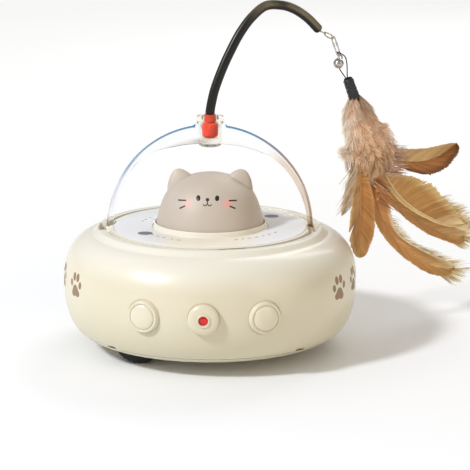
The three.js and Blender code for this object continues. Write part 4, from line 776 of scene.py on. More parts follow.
def body_rows():
    """The grid's rows as (radius, height): even in height over the belt of controls, finest at the rim."""
    radius, height = side_line.T
    low = side_line[height < BELT_LOW]
    slots = np.array([SEAM_HEIGHT + 0.05, 4.8, 5.4, SLOT_TOP - 0.08, SLOT_TOP + 0.02, 6.4, SLOT_ROWS_TOP])
    below_belt = side_line[(height > SLOT_ROWS_TOP) & (height < BELT_LOW)]
    belt = np.linspace(BELT_LOW, BELT_HIGH, 23)
    shoulder = side_line[(height > BELT_HIGH) & (radius > FINE_RADIUS)]
    rim = side_line[(height > BELT_HIGH) & (radius <= FINE_RADIUS)]
    drop = np.linspace(well_line[5, 1], WELL_FLOOR + 1, 8)[1:-1]
    return np.vstack([
        foot_line,
        np.stack([np.interp(slots, low[:, 1], low[:, 0]), slots], -1),
        spaced(below_belt, 1.4)[1:-1],
        np.stack([side_radius(belt), belt], -1),
        spaced(shoulder, 1.3)[1:-1],
        spaced(rim, 0.3),
        well_line[:6],
        np.stack([np.full(len(drop), WELL_RADIUS), drop], -1),
        well_line[6:-1],
        [[50, WELL_FLOOR], [30, WELL_FLOOR]],
        well_line[-1:],
    ])


def body_columns():
    """The grid's azimuths: each field has its own even steps, fine at the slots and the pockets, and the
    stretches between them have steps of about GRID_STEP degrees."""
    fields = [(centre, POCKET_FIELD, 0.2) for centre in POCKET_ANGLES]
    fields += [(FRONT + side * SLOT_ANGLE, SLOT_FIELD, 0.16) for side in (-1, 1)]
    fields += [(FRONT + side * CONTROL_ANGLE, CONTROL_FIELD, 0.8) for side in (-1, 0, 1)]
    fields += [(BACK, CHARGE_FIELD, 0.6)]
    out, at, end = [], GRID_START, GRID_START + 360
    for centre, half, step in sorted(fields):
        low, high = centre - half, centre + half
        out.append(np.linspace(at, low, int((low - at) / GRID_STEP) + 2)[:-1])
        out.append(np.linspace(low, high, int(round((high - low) / step)) + 1)[:-1])
        at = high
    out.append(np.linspace(at, end, int((end - at) / GRID_STEP) + 2)[:-1])
    return np.concatenate(out)


def pocketed(radius, height, azimuth):
    """Sinks the foot pockets into the rim, open to the well. A rounded box field in radius and arc says how
    deep."""
    middle, half_depth, half_arc, corner = 69.0, 3.0, ARCH_HALF_WIDTH + 0.1, 1.2
    for centre in POCKET_ANGLES:
        arc = np.abs((azimuth - centre + 180) % 360 - 180) * math.radians(1) * radius
        dr, da = np.abs(radius - middle) - half_depth, arc - half_arc
        inside = np.hypot(np.maximum(dr + corner, 0), np.maximum(da + corner, 0)) - corner
        inside += np.minimum(np.maximum(dr, da) + corner, 0)
        weight = smoothstep(0.5 - inside / 0.5) * (radius > WELL_RADIUS - 0.1) * (radius < SIDE_RADIUS)
        height = np.where(height > WELL_FLOOR, height + (WELL_FLOOR - height) * weight, height)
    return height


def field_patch(shape, centre, height, cols, rows, half, power):
    """Fills a rectangle left out of the grid with rings from a rounded hole to the rectangle, then turns the
    hole's edge inwards. The hole is |across/a|^n + |up/b|^n = 1 about the control's axis."""
    c0, c1, r0, r1 = cols[0], cols[-1], rows[0], rows[-1]
    border = [(c, r0) for c in cols[:-1]] + [(c1, r) for r in rows[:-1]]
    border += [(c, r1) for c in cols[:0:-1]] + [(c0, r) for r in rows[:0:-1]]
    border = np.array(border)
    z = border[:, 1]
    across = side_radius(z) * np.sin(np.radians(border[:, 0] - centre))
    edge = np.stack([across, z - height], -1)
    way = unit(edge)
    reach = 1 / (np.abs(way[:, 0] / half[0]) ** power + np.abs(way[:, 1] / half[1]) ** power) ** (1 / power)
    hole = way * reach[:, None]
    axis = np.array([math.cos(math.radians(centre)), math.sin(math.radians(centre)), 0])
    side = np.array([-axis[1], axis[0], 0])
    rings = [(hole + (edge - hole) * share, 0.0) for share in (1, 0.75, 0.5, 0.3, 0.15, 0.06, 0.02)]
    rings.append((hole * 1.004, 0.12))
    if power == 2:
        rings += [(hole, 0.3), (hole * 0.995, 0.45), (hole * 0.98, 0.5)]
    else:
        rings += [(hole, 0.35), (hole, 5.0)]
    points = []
    for p, sunk in rings:
        z = height + p[:, 1]
        out = np.sqrt(np.maximum(side_radius(z) ** 2 - p[:, 0] ** 2, 0)) - sunk
        points.append(axis * out[:, None] + side * p[:, :1] + EZ * z[:, None])
    quads = grid_quads(len(points), len(border), close_cols=True)[:, ::-1]
    shape.add(np.array(points), quads)


def housing():
    """The upper shell as one grid of rows round the axis, with fields left out for the controls' holes, and
    with two slots sunk into its foot."""
    rows, azimuth = body_rows(), body_columns()
    n, m = len(rows), len(azimuth)
    radius = np.repeat(rows[:, :1], m, axis=1)
    height = np.repeat(rows[:, 1:], m, axis=1)
    angle = np.repeat(azimuth[None], n, axis=0)
    height = pocketed(radius, height, angle)
    low_side = smoothstep((SLOT_TOP - height) / 0.08) * (radius > SIDE_RADIUS)
    for centre in (FRONT - SLOT_ANGLE, FRONT + SLOT_ANGLE):
        radius = radius - SLOT_DEPTH * low_side * smoothstep((SLOT_HALF - np.abs(angle - centre)) / 0.08)
    turn = np.radians(angle)
    points = np.stack([radius * np.cos(turn), radius * np.sin(turn), height], -1)
    quads = grid_quads(n, m, close_cols=True)
    row, col = quads[:, 0] // m, quads[:, 0] % m
    shape, keep = Shape().add(points, quads), np.ones(len(quads), bool)
    bezel_hole, boss_hole = (BEZEL_RADIUS + 0.12,) * 2, (BOSS_RADIUS + 0.12,) * 2
    fields = [
        (FRONT - CONTROL_ANGLE, CONTROL_HEIGHT, CONTROL_FIELD, bezel_hole, 2),
        (FRONT, BOSS_HEIGHT, CONTROL_FIELD, boss_hole, 2),
        (FRONT + CONTROL_ANGLE, CONTROL_HEIGHT, CONTROL_FIELD, bezel_hole, 2),
        (BACK, CHARGE_HEIGHT, CHARGE_FIELD, (CHARGE_HALF_WIDTH, CHARGE_HALF_HEIGHT), 5),
    ]
    for centre, level, half_field, half, power in fields:
        low, high = centre - half_field - 1e-6, centre + half_field + 1e-6
        cols = azimuth[(azimuth >= low) & (azimuth <= high)]
        if level > BELT_LOW:
            span = (rows[:, 1] > BELT_LOW - 0.01) & (rows[:, 1] < BELT_HIGH + 0.01)
        else:
            span = (rows[:, 1] > SLOT_ROWS_TOP - 0.1) & (rows[:, 1] < BELT_LOW + 1.3)
        levels = np.nonzero(span & (rows[:, 0] > SIDE_RADIUS))[0]
        inside = (azimuth[col] >= low) & (azimuth[col] < cols[-1] - 1e-6)
        inside &= (row >= levels[0]) & (row < levels[-1])
        keep &= ~inside
        field_patch(shape, centre, level, cols, rows[levels, 1], half, power)
    shape.faces[0] = quads[keep]
    shape.piece("housing", "base", shell_look, ("upper_shell",), "shell", 40, weld=True)


housing()
cad_look("lower_shell", shell_look, 25)


# Controls

def control_axis(angle):
    """The unit vector out through a control at an angle from the front."""
    turn = math.radians(FRONT + angle)
    return np.array([math.cos(turn), math.sin(turn), 0])


def domed(radius, foot, shoulder, crown, count):
    """The outline (radius, height) of a round plug: straight up from its foot, then a quarter ellipse."""
    a = np.radians(np.linspace(0, 90, count))[:, None]
    dome = np.hstack([radius * np.cos(a), shoulder + crown * np.sin(a)])
    dome[-1, 0] = 0
    return np.vstack([[[radius, foot]], dome])


def buttons():
    """The two bezels with a rolled lip, and their domed caps. Heights are distances from the toy's axis."""
    cap_radius, lip = 7.88, BODY_RADIUS + 2.2
    bore = cap_radius + 0.1
    bezel = rounded([
        (bore, BODY_RADIUS + 0.2), (bore, lip, 0.4), (BEZEL_RADIUS - 1, lip, 0.5),
        (BEZEL_RADIUS, BODY_RADIUS - 0.6, 0.5), (BEZEL_RADIUS, BODY_RADIUS - 5),
    ], 5)
    cap = domed(cap_radius, BODY_RADIUS - 7, BODY_RADIUS + 1.8, 2.1, 14)
    place = (0, 0, CONTROL_HEIGHT)
    for name, angle in (("left", -CONTROL_ANGLE), ("right", CONTROL_ANGLE)):
        axis = control_axis(angle)
        ring = revolve(Shape(), bezel, 96, place, axis)
        ring.piece(name + "_bezel", "base", shell_look, (name + "_button_bezel",), "shell")
        button = revolve(Shape(), cap, 80, place, axis)
        button.piece(name + "_cap", name + "_button", cap_look, (name + "_button_cap",), "shell")


def pointer_light():
    """The round boss and its lens. The boss narrows with its share to the power 1.6, while it comes out as a
    quarter circle, and ends in a nose round the lens."""
    nose_radius, nose_foot, nose_top = 4.2, BODY_RADIUS + 3.8, BODY_RADIUS + 4.6
    bore, bore_floor, lens_radius = 3.0, BODY_RADIUS + 2.2, 2.7
    share = np.linspace(0, 1, 24)[:, None]
    out = BODY_RADIUS + (nose_foot - BODY_RADIUS) * np.sqrt(np.maximum(1 - (1 - share) ** 2, 0))
    flare = np.hstack([BOSS_RADIUS - (BOSS_RADIUS - nose_radius) * share ** 1.6, out])
    nose = rounded([
        (nose_radius, nose_foot), (nose_radius, nose_top, 0.5), (bore, nose_top, 0.35), (bore, bore_floor),
        (lens_radius + 0.05, bore_floor),
    ], 4)
    boss = np.vstack([[[BOSS_RADIUS, BODY_RADIUS - 4]], flare, nose[1:]])
    place = (0, 0, BOSS_HEIGHT)
    revolve(Shape(), boss, 96, place, -EY).piece("light_boss", "base", shell_look, ("laser_boss",), "shell")
    lens = domed(lens_radius, BODY_RADIUS + 1.7, BODY_RADIUS + 2.8, 0.7, 10)
    revolve(Shape(), lens, 64, place, -EY).piece("light_lens", "base", red_look, ("laser_lens",), "red_lens")


buttons()
pointer_light()


# Deck

RECESS_OUTER, RECESS_INNER, RECESS_FLOOR = 62.6, 37.4, DECK_TOP - 1
INLAY_TOP = DECK_TOP + 0.2
PRY_ANGLE, PRY_HALF = FRONT + 14.7, 8.0


def turntable():
    """The turning deck: a rim with notches for the arch's feet and one to pry it out by, the inlay's recess,
    and the collar round the head. The grid's points are drawn in where a notch is."""
    foot, ledge, lip = DECK_TOP - 4, 66.55, 68.65
    collar = HEAD_RADIUS + 0.6
    line = rounded([
        (60.0, foot), (DECK_RADIUS, foot, 0.3), (DECK_RADIUS, ledge - 0.05), (DECK_RADIUS, ledge + 0.05),
        (DECK_RADIUS, lip - 0.05), (DECK_RADIUS, lip + 0.05), (DECK_RADIUS, DECK_TOP, 0.2),
        (RECESS_OUTER, DECK_TOP, 0.15), (RECESS_OUTER, RECESS_FLOOR, 0.1), (RECESS_INNER, RECESS_FLOOR, 0.1),
        (RECESS_INNER, DECK_TOP, 0.15), (collar + 1.3, DECK_TOP, 0.3), (collar + 0.7, HEAD_FOOT, 0.35),
        (collar, HEAD_FOOT, 0.3), (collar, 67.0),
    ], 5)
    steps = []
    for a, b in zip(line, line[1:]):
        count = max(2, int(np.ceil(np.linalg.norm(b - a) / 1.2)) + 1)
        steps.append(np.linspace(a, b, count)[:-1])
    rows = np.vstack([*steps, line[-1:]])
    notch_half = ARCH_HALF_WIDTH + GAP
    half = math.degrees(math.asin(notch_half / DECK_RADIUS))
    cols = np.unique(np.round(np.concatenate([
        np.arange(-180, 180, 1.5),
        *[c + s * (half + np.array([-0.5, -0.03, 0.03, 0.5])) for c in (0, -180) for s in (-1, 1)],
        [180 - half - 0.03, 180 - half + 0.03],
        PRY_ANGLE + PRY_HALF * np.array([-1.01, -0.99, 0.99, 1.01]),
    ]), 4))
    n, m = len(rows), len(cols)
    radius, height = np.repeat(rows[:, :1], m, 1), np.repeat(rows[:, 1:], m, 1)
    angle = np.radians(np.repeat(cols[None], n, 0))
    wall, start = ARCH_RADIUS - ARCH_WALL - GAP, RECESS_OUTER - 0.15
    limit = wall / np.maximum(np.abs(np.cos(angle)), 0.5)
    notch = np.abs(DECK_RADIUS * np.sin(angle)) < notch_half
    cut = start + (radius - start) * (limit - start) / (DECK_RADIUS - start)
    radius = np.where(notch & (radius > start), np.minimum(radius, cut), radius)
    radius = np.where(notch & (height < ledge) & (radius > start + 0.05), ARCH_RADIUS + GAP, radius)
    pry = np.abs(np.degrees(angle) - PRY_ANGLE) < PRY_HALF
    radius = np.where(pry & (radius > wall) & (height > ledge) & (height < lip), wall, radius)
    points = np.stack([radius * np.cos(angle), radius * np.sin(angle), height], -1)
    shape = Shape().add(points, grid_quads(n, m, close_cols=True)[:, ::-1])
    shape.piece("turning_deck", "turntable", deck_look, ("turntable",), "deck")
    outer, inner, foot = RECESS_OUTER - GAP, RECESS_INNER + GAP, RECESS_FLOOR + GAP
    inlay = rounded([(outer, foot), (outer, INLAY_TOP, 0.25), (inner, INLAY_TOP, 0.25), (inner, foot)], 4)
    revolve(Shape(), inlay, 160).piece("deck_inlay", "turntable", inlay_look, ("deck_ring",), "deck")


def flat_oval(shape, x, y, half_along, half_across, turn, sides=28):
    """A thin printed oval on the deck, turned by degrees, with a rounded edge."""
    z = INLAY_TOP + 0.03
    angle = np.arange(sides) * TAU / sides
    c, s = math.cos(math.radians(turn)), math.sin(math.radians(turn))
    rings = []
    for share, drop in ((1.0, 0.03), (0.97, 0.0), (0.5, 0.0)):
        u, v = share * half_along * np.cos(angle), share * half_across * np.sin(angle)
        rings.append(np.stack([x + c * u - s * v, y + s * u + c * v, np.full(sides, z - drop)], -1))
    shape.add(np.array(rings), grid_quads(3, sides, close_cols=True))
    pole = shape.add_point([x, y, z])
    shape.faces.append(fan_faces(pole, pole - sides, sides, True))


def deck_print():
    """Generic marks on the inlay: two ovals and arcs of short dashes, placed by azimuth and radius."""
    ovals = Shape()
    for radius, azimuth in ((47.3, -148.4), (49.6, 37.0)):
        t = math.radians(azimuth)
        flat_oval(ovals, radius * math.cos(t), radius * math.sin(t), 5.0, 4.8, azimuth + 90)
    ovals.piece("deck_ovals", "turntable", mark_look, (), "deck")
    dashes = Shape()
    arcs = [(-141, 45.5), (-134, 45.5), (-127.5, 45.6), (-119, 46.2), (-112, 46.8),
            (-66, 44.5), (-60, 44.5), (-54, 44.7), (-47, 45.2), (-40, 45.6), (-33, 46.0), (-24, 46.6),
            (152, 46), (159, 46), (166, 46), (60, 46), (67, 46), (74, 46)]
    for i, (azimuth, radius) in enumerate(arcs):
        t = math.radians(azimuth)
        size = 1.5 if i % 3 else 1.0
        flat_oval(dashes, radius * math.cos(t), radius * math.sin(t), size, 0.62, azimuth + 90, sides=16)
    dashes.piece("deck_dashes", "turntable", dash_look, (), "deck")


turntable()
deck_print()


# Head and face

HEAD_RISE = 31.8
EAR_RADIUS, EAR_RISE = 10.6, 13.6
EAR_ACROSS, EAR_FOOT, EAR_LEAN = 17.4, 93.3, math.radians(17)


def head_radius(height):
    """The dome's radius at a height: r (1 - 0.23 u) sqrt(1 - u^4), with u rising from 0 at its foot to 1."""
    u = np.clip((np.asarray(height, float) - HEAD_FOOT) / HEAD_RISE, 0, 1)
    return HEAD_RADIUS * (1 - 0.23 * u) * np.sqrt(np.maximum(1 - u ** 4, 0))


def ear(side):
    """An ear: a quarter ellipse turned about its axis and narrowed by a quarter towards its top, half as deep
    as it is wide, and leant outwards."""
    t = np.linspace(-0.25, 1, 40)[:, None] * math.pi / 2
    height = np.sin(t)
    outline = np.hstack([EAR_RADIUS * np.cos(t) * (1 - height / 4), EAR_RISE * height])
    outline[-1, 0] = 0
    c, s = math.cos(side * EAR_LEAN), math.sin(side * EAR_LEAN)

    def placed(p):
        x, y, z = p[:, 0], p[:, 1] * 0.5, p[:, 2]
        return np.stack([c * x + s * z + side * EAR_ACROSS, y, -s * x + c * z + EAR_FOOT], -1)

    return revolve(Shape(), outline, 80).move(placed)


def cat_head():
    """The dome with a rolled foot, and two ears that meet it in a crease. The dome's rows are even in the
    angle whose sine is u^2, so that sqrt(1 - u^4) is its cosine."""
    s = np.linspace(0, 1, 70)[:, None] * math.pi / 2
    u = np.sin(s) ** 0.5
    dome = np.hstack([HEAD_RADIUS * (1 - 0.23 * u) * np.cos(s), HEAD_FOOT + HEAD_RISE * u])
    dome[-1, 0] = 0
    foot = rounded([
        (HEAD_RADIUS - 2.8, HEAD_FOOT - 2.3), (HEAD_RADIUS, HEAD_FOOT - 2.3, 0.35), (HEAD_RADIUS, HEAD_FOOT),
    ], 4)
    shape = revolve(Shape(), np.vstack([foot[:-1], dome]), 160)
    for side in (-1, 1):
        shape.join(ear(side))
    shape.piece("cat_head_shell", "base", head_look, ("cat_head",), "head", 50)


def on_head(x, z, proud):
    """Points on the dome's front at x and z, lifted along its normal."""
    r = head_radius(z)
    slope = (head_radius(z + 0.05) - head_radius(z - 0.05)) / 0.1
    y = -np.sqrt(np.maximum(r * r - x * x, 0))
    normal = unit(np.stack([x / r, y / r, -slope], -1))
    return np.stack([x, y, z], -1) + proud * normal


def head_oval(shape, x, z, half_x, half_z, proud=0.06, crown=0.0, turn=0.0, sides=40):
    """A printed or slightly domed oval on the face."""
    angle = np.arange(sides) * TAU / sides
    c, s = math.cos(math.radians(turn)), math.sin(math.radians(turn))
    rings = []
    shares = (1.0, 0.98, 0.9, 0.75, 0.5, 0.25, 0.02)
    for i, share in enumerate(shares):
        u, v = share * half_x * np.cos(angle), share * half_z * np.sin(angle)
        lift = (-0.1 if i == 0 else proud) + crown * (1 - share * share)
        rings.append(on_head(x + c * u - s * v, z + s * u + c * v, lift))
    shape.add(np.array(rings), grid_quads(len(shares), sides, close_cols=True)[:, ::-1])


def head_stroke(shape, points, width, proud=0.06):
    """A printed stroke on the face along points (x, z), rounded at its ends."""
    points = np.asarray(points, float)
    walked = np.r_[0, np.cumsum(np.linalg.norm(np.diff(points, axis=0), axis=1))]
    n = 26
    at = walked[-1] * (0.5 - 0.5 * np.cos(np.linspace(0, math.pi, n)))
    path = np.stack([np.interp(at, walked, points[:, 0]), np.interp(at, walked, points[:, 1])], -1)
    along = unit(np.gradient(path, axis=0))
    across = np.stack([-along[:, 1], along[:, 0]], -1)
    ends = np.minimum(at, walked[-1] - at)
    half = width / 2
    reach = np.where(ends < half, np.sqrt(np.maximum(half ** 2 - (half - ends) ** 2, 1e-4)), half)
    lines = []
    for share, lift in ((1.0, -0.1), (0.96, proud), (0, proud), (-0.96, proud), (-1.0, -0.1)):
        p = path + across * (share * reach)[:, None]
        lines.append(on_head(p[:, 0], p[:, 1], lift))
    shape.add(np.array(lines), grid_quads(len(lines), n))


def face():
    """Oval eyes with a slight dome, a small nose over a curled mouth, and two whiskers a side."""
    nose_x, nose_z = -0.5, 91.9
    eyes = Shape()
    for x in (-6.36, 5.55):
        head_oval(eyes, x, 92.6, 1.35, 1.6, 0.05, 0.22)
    eyes.piece("eyes", "base", eye_look, (), "dark_plastic", 60)
    lines = Shape()
    head_oval(lines, nose_x, nose_z, 1.15, 0.95, 0.05, 0.1)
    head_stroke(lines, [(nose_x, 91.6), (nose_x, 89.5)], 0.62)
    for side in (-1, 1):
        curl = [(0.12, 89.55), (0.75, 88.6), (1.6, 88.35), (2.3, 88.8), (2.6, 89.35)]
        line = spline([(nose_x + side * x, 0, z) for x, z in curl], 24)
        head_stroke(lines, line[:, ::2], 0.55)
    for a, b in (((-19.4, 90.2), (-14.1, 90.7)), ((-18.4, 85.5), (-14.6, 87.6)),
                 ((12.9, 90.9), (17.9, 90.5)), ((13.4, 87.8), (17.2, 85.9))):
        head_stroke(lines, [a, b], 0.85)
    lines.piece("face_lines", "base", face_look, (), "dark_plastic", 60)


cat_head()
face()


# Paw prints

PAW_HEIGHT, PAW_LEAN = 38.9, 6
LEFT_PAWS = (-151.1, -169.1, 174.9, 158.9, 142.9)
RIGHT_PAWS = (-28.9, -12.9, 3.1, 19.1, 35.1)


def paw_prints():
    """A row of thin printed paw prints round each side: a pad under four toes. The pad's outline is an
    ellipse with three lobes and a dent at its foot. A part is its middle, half sizes, turn and outline."""
    shape, sides = Shape(), 48
    angle = np.arange(sides) * TAU / sides
    dent = 0.2 * np.exp(-((angle - 1.5 * math.pi) / 0.34) ** 2)
    lobed = 1 + 0.14 * np.cos(3 * (angle - math.pi / 2)) - dent
    plain = np.ones(sides)
    parts = (
        (0.1, -3.0, 5.4, 3.9, 0, lobed), (-6.2, 1.9, 1.8, 2.4, 16, plain), (-2.4, 6.2, 2.1, 2.7, 6, plain),
        (2.7, 6.3, 2.1, 2.7, -6, plain), (6.6, 2.1, 1.8, 2.4, -16, plain),
    )
    for azimuth in RIGHT_PAWS + LEFT_PAWS:
        lean = PAW_LEAN if azimuth in RIGHT_PAWS else -PAW_LEAN
        for x, z, half_x, half_z, turn, form in parts:
            c, s = math.cos(math.radians(turn - lean)), math.sin(math.radians(turn - lean))
            rings = []
            for share, lift in ((1.0, -0.12), (0.98, 0.05), (0.5, 0.05), (0.02, 0.05)):
                u, v = share * form * half_x * np.cos(angle), share * form * half_z * np.sin(angle)
                across, up = x + c * u - s * v, PAW_HEIGHT + z + s * u + c * v
                r = side_radius(up) + lift
                turned = math.radians(azimuth) + across / BODY_RADIUS
                rings.append(np.stack([r * np.cos(turned), r * np.sin(turned), up], -1))
            shape.add(np.array(rings), grid_quads(4, sides, close_cols=True))
    shape.piece("paw_prints", "base", paw_look, (), "shell", 60)


paw_prints()


# Clear arch, socket, plug and wand

def boolean(piece, tool, operation):
    """Joins a shape to a piece, or cuts it out of the piece, and keeps the result as the piece's own mesh."""
    thing = bpy.data.objects.new("tool", tool.mesh("tool"))
    bpy.context.scene.collection.objects.link(thing)
    change = piece.modifiers.new(operation, "BOOLEAN")
    change.operation, change.object, change.solver = operation, thing, "EXACT"
    bpy.context.view_layer.update()
    made = bpy.data.meshes.new_from_object(piece.evaluated_get(bpy.context.evaluated_depsgraph_get()))
    piece.modifiers.clear()
    piece.data = made
    bpy.data.objects.remove(thing)


def arch():
    """The clear arch: a bar bent over the head with softened edges, and a collar at its crown with a bore for
    the socket. Its inner side is sunk by (1 - (angle / spread)^2)^2 of a rise, so its crown is thicker."""
    crown_rise, crown_spread, foot_level = 6.1, 50, 64.3
    degrees = np.linspace(-90, 90, 181)
    rise = crown_rise * np.maximum(1 - (np.abs(degrees) / crown_spread) ** 2, 0) ** 2
    turn = np.radians(degrees)
    out = np.stack([np.sin(turn), np.zeros_like(turn), np.cos(turn)], -1)
    wall, half = ARCH_WALL, ARCH_HALF_WIDTH
    bar = rounded([(0, half, 0.9), (0, -half, 0.9), (-wall, -half, 0.9), (-wall, half, 0.9)], 5, True)
    inner = np.clip((-bar[:, 0] - 1.0) / 1.4, 0, 1)
    depth = bar[None, :, 0] - inner[None] * rise[:, None]
    points = ARCH_CENTRE * EZ + out[:, None] * (ARCH_RADIUS + depth)[..., None] + EY * bar[None, :, 1:]
    feet = points[[0, -1]]
    feet[..., 2] = foot_level
    points = np.concatenate([feet[:1], points, feet[1:]])
    n, m = points.shape[:2]
    shape = Shape().add(points, grid_quads(n, m, close_cols=True))
    ring = np.arange(m)
    shape.faces += [ring[None], (ring + (n - 1) * m)[None, ::-1]]
    piece = shape.piece("arch", "turntable", acrylic_look, ("clear_arch",), "clear", 30)
    collar = np.vstack([[0, 128], rounded([(10.8, 128), (10.8, 135.6, 1.0), (0, 135.6)], 5)])
    boolean(piece, revolve(Shape(), collar, 72), "UNION")
    boolean(piece, revolve(Shape(), [(0, 118), (7.6, 118), (7.6, 138), (0, 138)], 72), "DIFFERENCE")
    piece.data.polygons.foreach_set("use_smooth", np.ones(len(piece.data.polygons), bool))
    piece.data.set_sharp_from_angle(angle=math.radians(30))
    piece.visible_shadow = False


def socket_and_plug():
    """The clear socket cup in the crown, which casts no shadow, and the silicone plug in it."""
    cup_radius, flange, mouth, plug_radius = 7.4, 8.6, 5.6, 5.2
    cup = rounded([
        (0, 121.4), (cup_radius, 121.4, 2.0), (cup_radius, 136.2, 0.2), (flange, 136.2, 0.5),
        (flange, SOCKET_TOP, 1.1), (mouth, SOCKET_TOP, 0.8), (mouth, 126.6, 0.6), (0, 126.6),
    ], 6)
    piece = revolve(Shape(), cup, 96).piece("socket_cup", "turntable", socket_look, ("arch_socket",), "clear")
    piece.visible_shadow = False
    neck, head, bore = 3.4, 3.9, 2.4
    plug = rounded([
        (0, 126.9), (plug_radius, 126.9, 3.6), (plug_radius, 136.5, 2.0), (neck, 136.5, 0.3),
        (neck, 137.3, 0.3), (head, 137.3, 1.2), (head, 141.9, 1.4), (bore, 141.9, 0.2), (bore, 137.0),
    ], 5)
    revolve(Shape(), plug, 72).piece("plug", "wand", plug_look, ("wand_plug",), "silicone")


WAND_REACH, WAND_RISE = 75.0, 68.1
WAND_SHARES = (
    (0.037, 0.22), (0.112, 0.43), (0.184, 0.588), (0.278, 0.763), (0.388, 0.907), (0.511, 1), (0.661, 0.999),
    (0.773, 0.96), (0.896, 0.874), (1, 0.765),
)
wand_points = [(0, 0, SOCKET_TOP + 0.9), (0, 0, SOCKET_TOP + 2.4)]
wand_points += [(WAND_REACH * a, 0, SOCKET_TOP + WAND_RISE * b) for a, b in WAND_SHARES]
wand_line = spline(wand_points, 220)
tip = wand_line[-1]
tip_way = unit(wand_line[-1] - wand_line[-2])


LURE_TURN = math.radians(24)
LURE_WIDTH, LURE_DROP = 100.0, 160.0


def lure_point(out, up, side=0.0):
    """A point of the lure's own plane, as shares of its width and drop from the wand's tip."""
    return np.array([tip[0] + out * LURE_WIDTH, side, tip[2] + up * LURE_DROP])


def lure_turned(points):
    """Turns the lure's plane about the toy's axis to where it hangs at rest."""
    c, s = math.cos(LURE_TURN), math.sin(LURE_TURN)
    x, y = points[..., 0], points[..., 1]
    return np.stack([c * x - s * y, s * x + c * y, points[..., 2]], -1)


def wand():
    """The bent wand: an oval tube along the photographed curve, with a rounded tip round the cord's bore. It
    is black, with a painted pale-brown highlight on top from its middle on."""
    angle = np.arange(36) * TAU / 36
    section = np.stack([3.05 * np.cos(angle), 2.7 * np.sin(angle)], -1)
    t = np.linspace(0, 1, 8)[1:]
    end = tip + tip_way * (2.3 * np.sin(t * math.pi / 2))[:, None]
    path = np.vstack([wand_line, end])
    scale = np.r_[np.ones(len(wand_line)), np.maximum(np.cos(t * math.pi / 2), 0.28)]
    shape = sweep(Shape(), path, section, (0, 1, 0), scale)
    # painted highlight: pale brown on top of the black tube, from its middle on
    upper = smoothstep((0.5 - np.cos(angle)) / 0.5)[None, :, None]
    late = smoothstep((np.linspace(0, 1, len(path)) - 0.45) / 0.25)[:, None, None]
    dark, pale = np.array(rgb(30, 28, 25)), np.array(rgb(122, 110, 86))
    tone = (dark + (pale - dark) * upper * late).reshape(-1, 3)
    shape.tones = [tone, tone[:1], tone[-1:]]
    shape.move(lure_turned).piece("wand_tube", "wand", wand_look, ("wand_rod",), "wand")


arch()
socket_and_plug()
wand()


# The lure's cords, clasp, bell and sleeve

TIP_CORD_WIRE, CLASP_WIRE, EYE_WIRE, CORD_WIRE = 0.5, 0.45, 0.35, 0.42
CLASP_LENGTH, CLASP_HALF = 13.6, 1.15
EYE_RADIUS, BELL_RADIUS = 1.5, 3.4
SLEEVE_LENGTH, MOUTH_DEPTH = 16.0, 3.5
PLIES = 3

tip_cord_end = lure_point(0.111, -0.043)
clasp_way = unit(np.array([0.369, 0, -0.929]))
clasp_top = tip_cord_end - clasp_way * (CLASP_WIRE + TIP_CORD_WIRE + 1.4 * GAP)
clasp_foot = clasp_top + clasp_way * CLASP_LENGTH
bell_eye = clasp_foot - clasp_way * (CLASP_WIRE + EYE_WIRE + GAP) - EYE_RADIUS * EZ
bell_centre = bell_eye - (EYE_RADIUS + BELL_RADIUS - EYE_WIRE) * EZ
sleeve_top = lure_point(0.22, -0.209)
sleeve_way = unit(np.array([0.365, 0, -0.931]))


def twisted(shape, path, radius, closed, colours, turns, ref):
    """A laid cord: plies of yarn that wind round the path, each a thinner tube."""
    path = np.asarray(path, float)
    n = len(path)
    along = unit(np.roll(path, -1, 0) - np.roll(path, 1, 0) if closed else np.gradient(path, axis=0))
    across = unit(np.cross(ref, along))
    up = np.cross(along, across)
    angle = np.arange(n) / n * TAU * turns
    for k in range(PLIES):
        a = angle + k * TAU / PLIES
        offset = 0.48 * radius * (np.cos(a)[:, None] * across + np.sin(a)[:, None] * up)
        ply = circle(0.56 * radius, 8)
        sweep(shape, path + offset, ply, ref, closed=closed, tone=colours[k % len(colours)])


def tip_cord():
    """The cream laid cord out of the wand's bore, with a small oval loop at its end and a turn as a knot."""
    cream = [rgb(206, 200, 182), rgb(226, 220, 204), rgb(176, 168, 148)]
    half_long, half_wide, loop_turn = 3.6, 2.0, math.radians(60)
    along = unit(tip_cord_end - tip)
    centre = tip_cord_end - half_long * along
    in_plane = np.cross(EY, along)
    across = in_plane * math.cos(loop_turn) + EY * math.sin(loop_turn)
    t = np.arange(60)[:, None] / 60 * TAU
    loop = centre + half_long * np.cos(t) * along + half_wide * np.sin(t) * across
    shape = Shape()
    twisted(shape, loop, TIP_CORD_WIRE, True, cream, 9, unit(np.cross(along, across)))
    stem = spline([tip - 2.7 * tip_way, tip + 2.45 * tip_way, centre - half_long * along], 60)
    twisted(shape, stem, TIP_CORD_WIRE, False, cream, 5, EY)
    knot = centre - (half_long - 0.1) * along
    a = np.arange(40)[:, None] / 40 * TAU
    wrap = knot + 0.75 * (np.cos(a) * EY + np.sin(a) * in_plane) + 0.25 * np.sin(a / 2) * along
    twisted(shape, wrap, 0.42, True, cream, 4, along)
    shape.move(lure_turned).piece("tip_cord_laid", "wand", cream_cord_look, ("tip_cord",), "cream_cord", 60)


